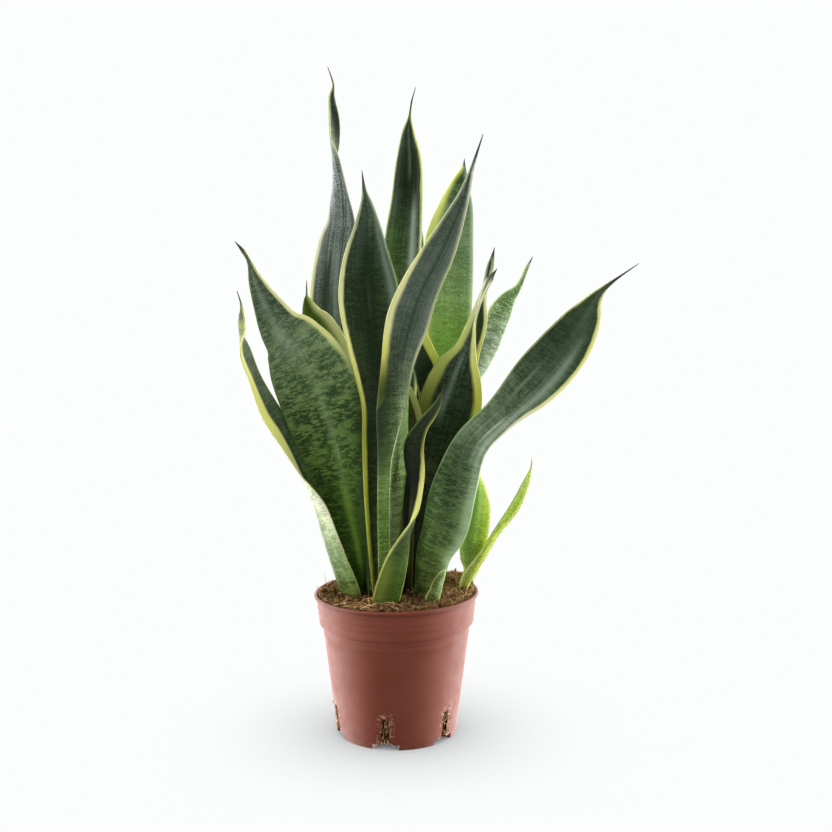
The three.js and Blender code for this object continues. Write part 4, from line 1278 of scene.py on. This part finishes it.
        "dark": [(110, (10, 17, 8)), (165, (12, 17, 11)), (225, (8, 13, 8)), (255, (5, 11, 6)),
                 (285, (28, 41, 27)), (320, (90, 100, 80))],
        "light": [(110, (25, 31, 20)), (165, (29, 37, 25)), (195, (48, 58, 36)), (225, (44, 58, 34)),
                  (255, (50, 64, 44)), (285, (80, 94, 76)), (320, (120, 130, 100))],
        "bands": 0.5, "streaks": [(200, 0.4), (260, 0.9)],
        # a painted sheen streak across the middle, and a lighter green strip on the right
        "strokes": [((96, 108, 100), (225, -0.3), (285, 0.1), 0.12, 0.7),
                    ((40, 56, 32), (175, 0.75), (245, 0.75), 0.25, 0.7)],
        "left": [(170, 4), (215, 9), (260, 9), (285, 4.5), (330, 1)],
        "right": [(170, 3.5), (215, 6), (270, 6), (290, 2.5)],
        "soft": [(200, 3), (270, 2), (300, 1)],
        "leftTone": [(215, (30, 36, 12)), (235, (66, 72, 26)), (255, (104, 109, 50)), (275, (140, 148, 78)),
                     (290, (172, 180, 102)), (315, (205, 208, 172))],
        "leftLit": [(225, 0.49), (285, 0.57), (315, 0.61)],
        "rightTone": [(215, (152, 172, 66)), (235, (178, 196, 62)), (255, (202, 208, 74)),
                      (285, (206, 207, 131)), (315, (206, 208, 165))],
        "rightLit": [(225, 0.31), (255, 0.44), (285, 0.62), (315, 1.1)],
    },
    "leaf_far_right": {
        "tip": 34,
        "ribs": [
            (20, -21, 79, 8.5, -22, -4), (20.9, -22, 104, 9.8, -22, -4),
            (25.5, -23, 134.5, 12.5, -15, -5), (34, -23.5, 155, 16, -12, -5),
            (40, -25, 181.5, 16, -10, -5), (52, -26.5, 214, 12.5, -8, -5),
            (73, -27.5, 236, 12, -5, -4.5), (97.5, -29, 260, 18, 0, -4),
            (116.5, -30.5, 282.5, 17.5, 0, -2), (129, -31.5, 302, 12.5, 0, -1),
            (137.5, -32.5, 317.5, 4.5, 0, 0), (147, -33, 327, 1.3, 0, 0),
            (166, -34, 340.5, 0.6, 0, 0),
        ],
        "lit": [(105, 0.25), (135, 0.45), (165, 0.51), (225, 0.6), (255, 0.72)],
        "dark": [(105, (54, 60, 25)), (135, (54, 70, 33)), (165, (48, 63, 38)), (195, (48, 64, 39)),
                 (225, (77, 95, 69)), (255, (40, 56, 36)), (285, (31, 47, 28)), (315, (42, 59, 37)),
                 (340, (50, 64, 46))],
        "light": [(105, (84, 98, 46)), (135, (88, 110, 58)), (165, (84, 108, 60)), (195, (88, 110, 72)),
                  (225, (112, 130, 100)), (255, (92, 110, 80)), (285, (62, 80, 56)), (315, (70, 86, 66))],
        "bands": [(110, 1.3), (220, 1.1), (270, 0.6), (340, 0.4)],
        "streaks": [(190, 0.3), (230, 0.9), (280, 0.6)],
        "left": [(110, 0.8), (200, 1), (312, 1.4), (330, 0)],
        "right": [(190, 0.8), (228, 1.2), (245, 3), (310, 2.8), (330, 0)],
        "leftTone": [(110, (90, 104, 60)), (165, (78, 92, 54)), (210, (130, 143, 100)),
                     (275, (150, 167, 116)), (305, (195, 200, 122)), (325, (224, 228, 132))],
        "leftLit": [(165, 0.25), (195, 0.38), (225, 0.53), (255, 0.76), (285, 0.9), (315, 0.78)],
        "rightTone": [(135, (118, 136, 98)), (165, (125, 144, 100)), (190, (190, 205, 165)),
                      (225, (200, 205, 190)), (255, (220, 218, 155)), (285, (217, 215, 132)),
                      (315, (211, 213, 134))],
        "rightLit": [(135, 0.5), (225, 0.63), (255, 0.74)],
        # painted sheen: the bright right side, a broad band higher up, thin highlight lines and a lighter
        # middle
        "strokes": [((150, 170, 142), (112, 0.95), (210, 0.8), 0.3, 0.6),
                    ((176, 190, 174), (195, 0.7), (300, 0.35), 0.18, 0.55),
                    ((146, 162, 138), (200, -0.1), (275, -0.35), 0.05, 0.5),
                    ((190, 203, 190), (205, 0.35), (240, 0.25), 0.04, 0.7),
                    ((96, 110, 90), (245, 0.0), (330, 0.1), 0.22, 0.3)],
    },
    "leaf_inner_leaning": {
        "tip": 10,
        "ribs": [
            (23, 7.5, 79, 6, 0, 4), (24, 8, 104, 7, 0, 4), (39, 4, 170.5, 7, 0, 4),
            (34, 3, 216, 9.5, 0, 4), (26, 2, 255, 11, 0, 3), (17.5, 1, 282, 8.5, 0, 2),
            (13, 0, 302.5, 2.7, 0, 1), (11.5, 0, 315.5, 0.6, 0, 0),
        ],
        "gloss": 1.15,
        "lit": [(255, 0.21), (285, 0.36)],
        "dark": [(255, (18, 27, 17)), (285, (21, 34, 19))],
        "light": [(255, (36, 44, 30)), (285, (38, 50, 33))],
        "bands": 0.4,
        "left": 1, "right": 6, "leftTone": (100, 110, 88),
        "rightTone": [(240, (120, 126, 76)), (270, (150, 157, 70)), (300, (165, 170, 80))],
        "rightLit": [(255, 0.36), (285, 0.42)],
    },
    "leaf_inner_low": {
        "tip": 10,
        "ribs": [
            (7, -9.5, 79, 3, 0, 2), (7.5, -10, 104, 3.5, 0, 2), (8.5, -13, 173.5, 5.5, 0, 3),
            (11.5, -14, 218, 8.5, 0, 3), (8.5, -15, 243, 7, 0, 2), (4.5, -16, 261, 3, 0, 1),
            (3.5, -17, 276.5, 0.6, 0, 0),
        ],
        "gloss": 1.06,
        "lit": [(165, 0.41), (225, 0.52)],
        "dark": [(195, (15, 19, 15)), (225, (26, 32, 14))],
        "light": [(195, (24, 29, 23)), (225, (48, 54, 20))],
        "bands": 0.4,
        "left": 1.5, "right": 4, "leftTone": (50, 54, 32),
        "rightTone": [(195, (60, 62, 30)), (215, (92, 94, 42)), (250, (116, 123, 70))],
    },
    "leaf_back_tall": {
        "tip": 26,
        "ribs": [
            (0, 19, 79, 9.5, 0, -4), (0, 20, 104, 11, 0, -4), (-1.5, 23, 167, 10.5, 0, -4),
            (0, 27.5, 226, 13.5, 0, -4), (1, 33.5, 285.5, 15, 0, -4), (2, 38, 325, 15, 0, -4),
            (5, 42.5, 363, 13.5, 0, -4), (7.5, 46, 389, 11.5, 0, -4), (9, 50, 417, 9.5, 0, -3),
            (8.5, 53, 437.5, 5, 0, -2), (9.5, 54.5, 449.5, 1.3, 0, 0),
            (11, 56.5, 461.5, 0.6, 0, 0), (14, 58, 472.5, 0.6, 0, 0),
        ],
        "lit": [(255, 0.47), (315, 0.64), (345, 0.74), (375, 0.79), (435, 0.88)],
        "dark": [(110, (36, 58, 20)), (300, (44, 64, 29)), (345, (26, 41, 19)), (375, (19, 32, 15)),
                 (405, (12, 23, 11)), (435, (16, 27, 14))],
        "light": [(110, (60, 86, 34)), (300, (84, 106, 58)), (345, (84, 102, 68)), (375, (68, 84, 56)),
                  (405, (38, 52, 32)), (435, (58, 70, 48))],
        "bands": [(330, 0.6), (400, 0.35)], "streaks": 0.5,
        "left": [(290, 1.3), (470, 1.0)], "right": [(290, 2), (400, 2), (470, 1)],
        "leftTone": (140, 165, 75),
        "rightTone": [(330, (216, 220, 135)), (360, (205, 211, 178)), (390, (172, 186, 86)),
                      (430, (202, 214, 92)), (455, (190, 200, 110))],
        "rightLit": [(345, 0.9), (375, 1.0), (435, 1.17)],
        # painted sheen on the right and near the top, and the leaf's own vivid green on the left
        "strokes": [((158, 171, 158), (290, 0.55), (400, 0.45), 0.17, 0.9),
                    ((62, 96, 30), (290, -0.5), (380, -0.6), 0.35, 0.6),
                    ((100, 114, 100), (400, 0.1), (455, 0), 0.12, 0.7)],
    },
    "leaf_back_sliver": {
        "ribs": [
            (5.5, 34, 81, 4, 0, 3), (6, 36, 106, 5, 0, 3), (10.5, 42, 178.5, 7, 0, 3),
            (13, 48, 239, 7.5, 0, 3), (14.5, 54, 299.5, 8, 0, 2), (15.5, 58.5, 343.5, 5.5, 0, 2),
            (17, 60.5, 361.5, 2.8, 0, 1), (17.5, 62, 373.5, 0.6, 0, 0),
        ],
        "lit": 0.4, "dark": (36, 50, 32), "light": (58, 76, 48), "bands": 0.3,
        "left": 0.6, "right": 0.6, "leftTone": (120, 150, 70), "rightTone": (150, 160, 100),
    },
    "leaf_right_pale": {
        "tip": 7,
        "ribs": [
            (31.5, 19, 84, 3.8, 0, -2), (33, 20, 109, 4.5, 0, -2), (34, 20, 131, 4, 0, -2),
            (37.5, 20.5, 167, 5, 0, -3), (43, 22, 204.5, 5.5, 0, -4), (49, 23, 234, 6.5, 0, -4),
            (55, 24, 256, 6.5, 0, -4), (62.5, 25, 272, 8, 0, -4), (68, 25.5, 284, 8.5, 0, -4),
            (72.5, 26.5, 296.5, 8.5, 0, -3.5), (77, 27, 307.5, 8, 0, -3),
            (82.5, 27.5, 316.5, 5.5, 0, -2), (88.5, 28, 323, 2.7, 0, -1),
            (92.3, 28.5, 330, 1.7, 0, 0), (96, 29.3, 339, 1.3, 0, 0), (100, 30, 346.5, 0.6, 0, 0),
        ],
        "lit": [(255, 0.77), (300, 0.69)],
        "dark": [(110, (70, 92, 56)), (250, (138, 158, 126)), (285, (88, 110, 78)), (315, (68, 94, 56))],
        "light": [(110, (120, 146, 100)), (250, (205, 216, 196)), (285, (181, 195, 173)),
                  (315, (147, 174, 117))],
        "bands": 0.8, "streaks": 0.5,
        "left": [(250, 0.4), (300, 1.2)], "right": 0.6, "leftTone": (180, 200, 140),
        "rightTone": (196, 208, 174),
    },
    "leaf_right_narrow": {
        "tip": 10,
        "ribs": [
            (27.5, 13.5, 81, 5, 0, 3), (29, 14, 106, 6, 0, 3), (30.5, 14.5, 152.5, 6, 0, 3),
            (41.5, 14.5, 196.5, 7, 0, 3), (49, 15, 241.5, 6.5, 0, 3), (54.5, 15.5, 275, 5.5, 0, 3),
            (60, 15.5, 297, 5.5, 0, 3), (63.5, 15.5, 320, 2.1, 0, 1.5), (68, 16, 339, 2.4, 0, 1),
            (71, 16, 353, 0.6, 0, 0),
        ],
        "lit": [(285, 0.41), (345, 0.5)],
        "dark": (23, 37, 23), "light": (44, 58, 37), "bands": 0.4,
        "left": 0.6, "right": 2.2, "leftTone": (132, 141, 111),
        "rightTone": [(280, (180, 185, 95)), (300, (196, 199, 126)), (320, (216, 218, 152)),
                      (340, (150, 158, 125))],
        "rightLit": [(285, 0.49), (315, 0.5), (345, 0.66)],
    },
    "pup_leaf_broad": {
        "tip": 2,
        "ribs": [
            (43, 6, 83, 3, 0, 4), (50.5, 7, 108, 3, 0, 4), (53.5, 8, 118, 4.2, 0, 5),
            (55, 8.5, 126, 8, 0, 5.5), (56.8, 9, 139, 10, 0, 6), (61, 10, 159.5, 8.5, 0, 5),
            (62, 11, 174.5, 5.5, 0, 3), (61.5, 12, 190.5, 0.6, 0, 0),
        ],
        "lit": 0.6,
        "dark": [(115, (66, 80, 30)), (135, (80, 94, 38)), (165, (144, 168, 108)), (195, (132, 158, 116))],
        "light": [(115, (140, 156, 92)), (135, (172, 188, 118)), (165, (194, 210, 162)),
                  (195, (184, 202, 172))],
        "bands": 0.3, "slot": "young_leaf",
        "left": 0.5, "right": 1.2, "leftTone": (150, 190, 80), "rightTone": (226, 239, 195),
        "strokes": [((84, 122, 36), (112, -0.45), (190, -0.65), 0.32, 0.75)],
    },
    "pup_leaf_narrow": {
        "tip": 9,
        "ribs": [
            (42, -2.5, 82, 2.5, 0, 3), (48.5, -3, 107, 3, 0, 3), (52, -4, 117, 3.9, 0, 4),
            (62, -5.5, 132, 3, 0, 5), (72.5, -8, 150, 2.6, 0, 4),
            (84.5, -10.5, 167.5, 3.7, 0, 3.5), (92.5, -13, 185.5, 2.5, 0, 2),
            (96, -14.5, 196.5, 0.7, 0, 0), (96.5, -16, 204.5, 0.6, 0, 0),
        ],
        "lit": [(135, 0.56), (165, 0.84), (190, 0.94)],
        "dark": [(105, (92, 98, 52)), (135, (130, 152, 66)), (165, (146, 170, 78)), (190, (158, 180, 116)),
                 (204, (60, 84, 40))],
        "light": [(105, (184, 190, 142)), (135, (192, 205, 152)), (165, (193, 210, 138)),
                  (190, (197, 214, 160)), (204, (90, 114, 60))],
        "bands": 0.3, "slot": "young_leaf",
        "left": 0.5, "right": 1.4, "leftTone": (140, 165, 75),
        "rightLit": [(135, 0.7), (165, 1), (190, 1.1)],
        "rightTone": [(105, (150, 158, 118)), (135, (200, 211, 168)), (165, (216, 226, 184)),
                      (190, (192, 205, 168))],
    },
    "pup_leaf_outer": {
        "tip": 2,
        "ribs": [
            (41, 8, 79, 2, 0, -2), (47, 9, 104, 2.4, 0, -2), (55.5, 10.5, 111, 2.8, 0, -2.5),
            (61.5, 12.5, 122.5, 3.2, 0, -2.5), (65.5, 14, 131, 2.3, 0, -2),
            (69, 16, 141, 0.6, 0, 0),
        ],
        "lit": 0.89, "dark": (150, 164, 122), "light": (202, 212, 176), "bands": 0.4, "slot": "young_leaf",
        "left": 0.3, "right": 0.8, "leftTone": (170, 188, 130), "rightTone": (212, 222, 184),
    },
    "basal_scale": {
        "tip": 1,
        "ribs": [
            (24, -31, 78, 4.5, -10, -2.5), (25, -35, 103, 5, -10, -2.5),
            (27.6, -34, 112.4, 3.9, -10, -2.5), (29.8, -32.5, 118.4, 3.3, -10, -2),
            (32.6, -31, 123.5, 2.2, -10, -1.2), (35.2, -30, 128, 0.6, 0, 0),
        ],
        "lit": 0.75,
        "dark": [(108, (28, 44, 8)), (122, (70, 92, 40)), (130, (124, 150, 98))],
        "light": [(105, (118, 140, 76)), (130, (166, 184, 150))],
        "bands": 0.6, "streaks": 0.8, "slot": "young_leaf",
        "left": 0.8, "right": 0.2, "leftTone": (205, 204, 96), "rightTone": (130, 152, 80),
    },
}


makeStudio()
makePot()
makeSoil()
for node, look in blades.items():
    makeBlade(node, look)
print("blades ready")
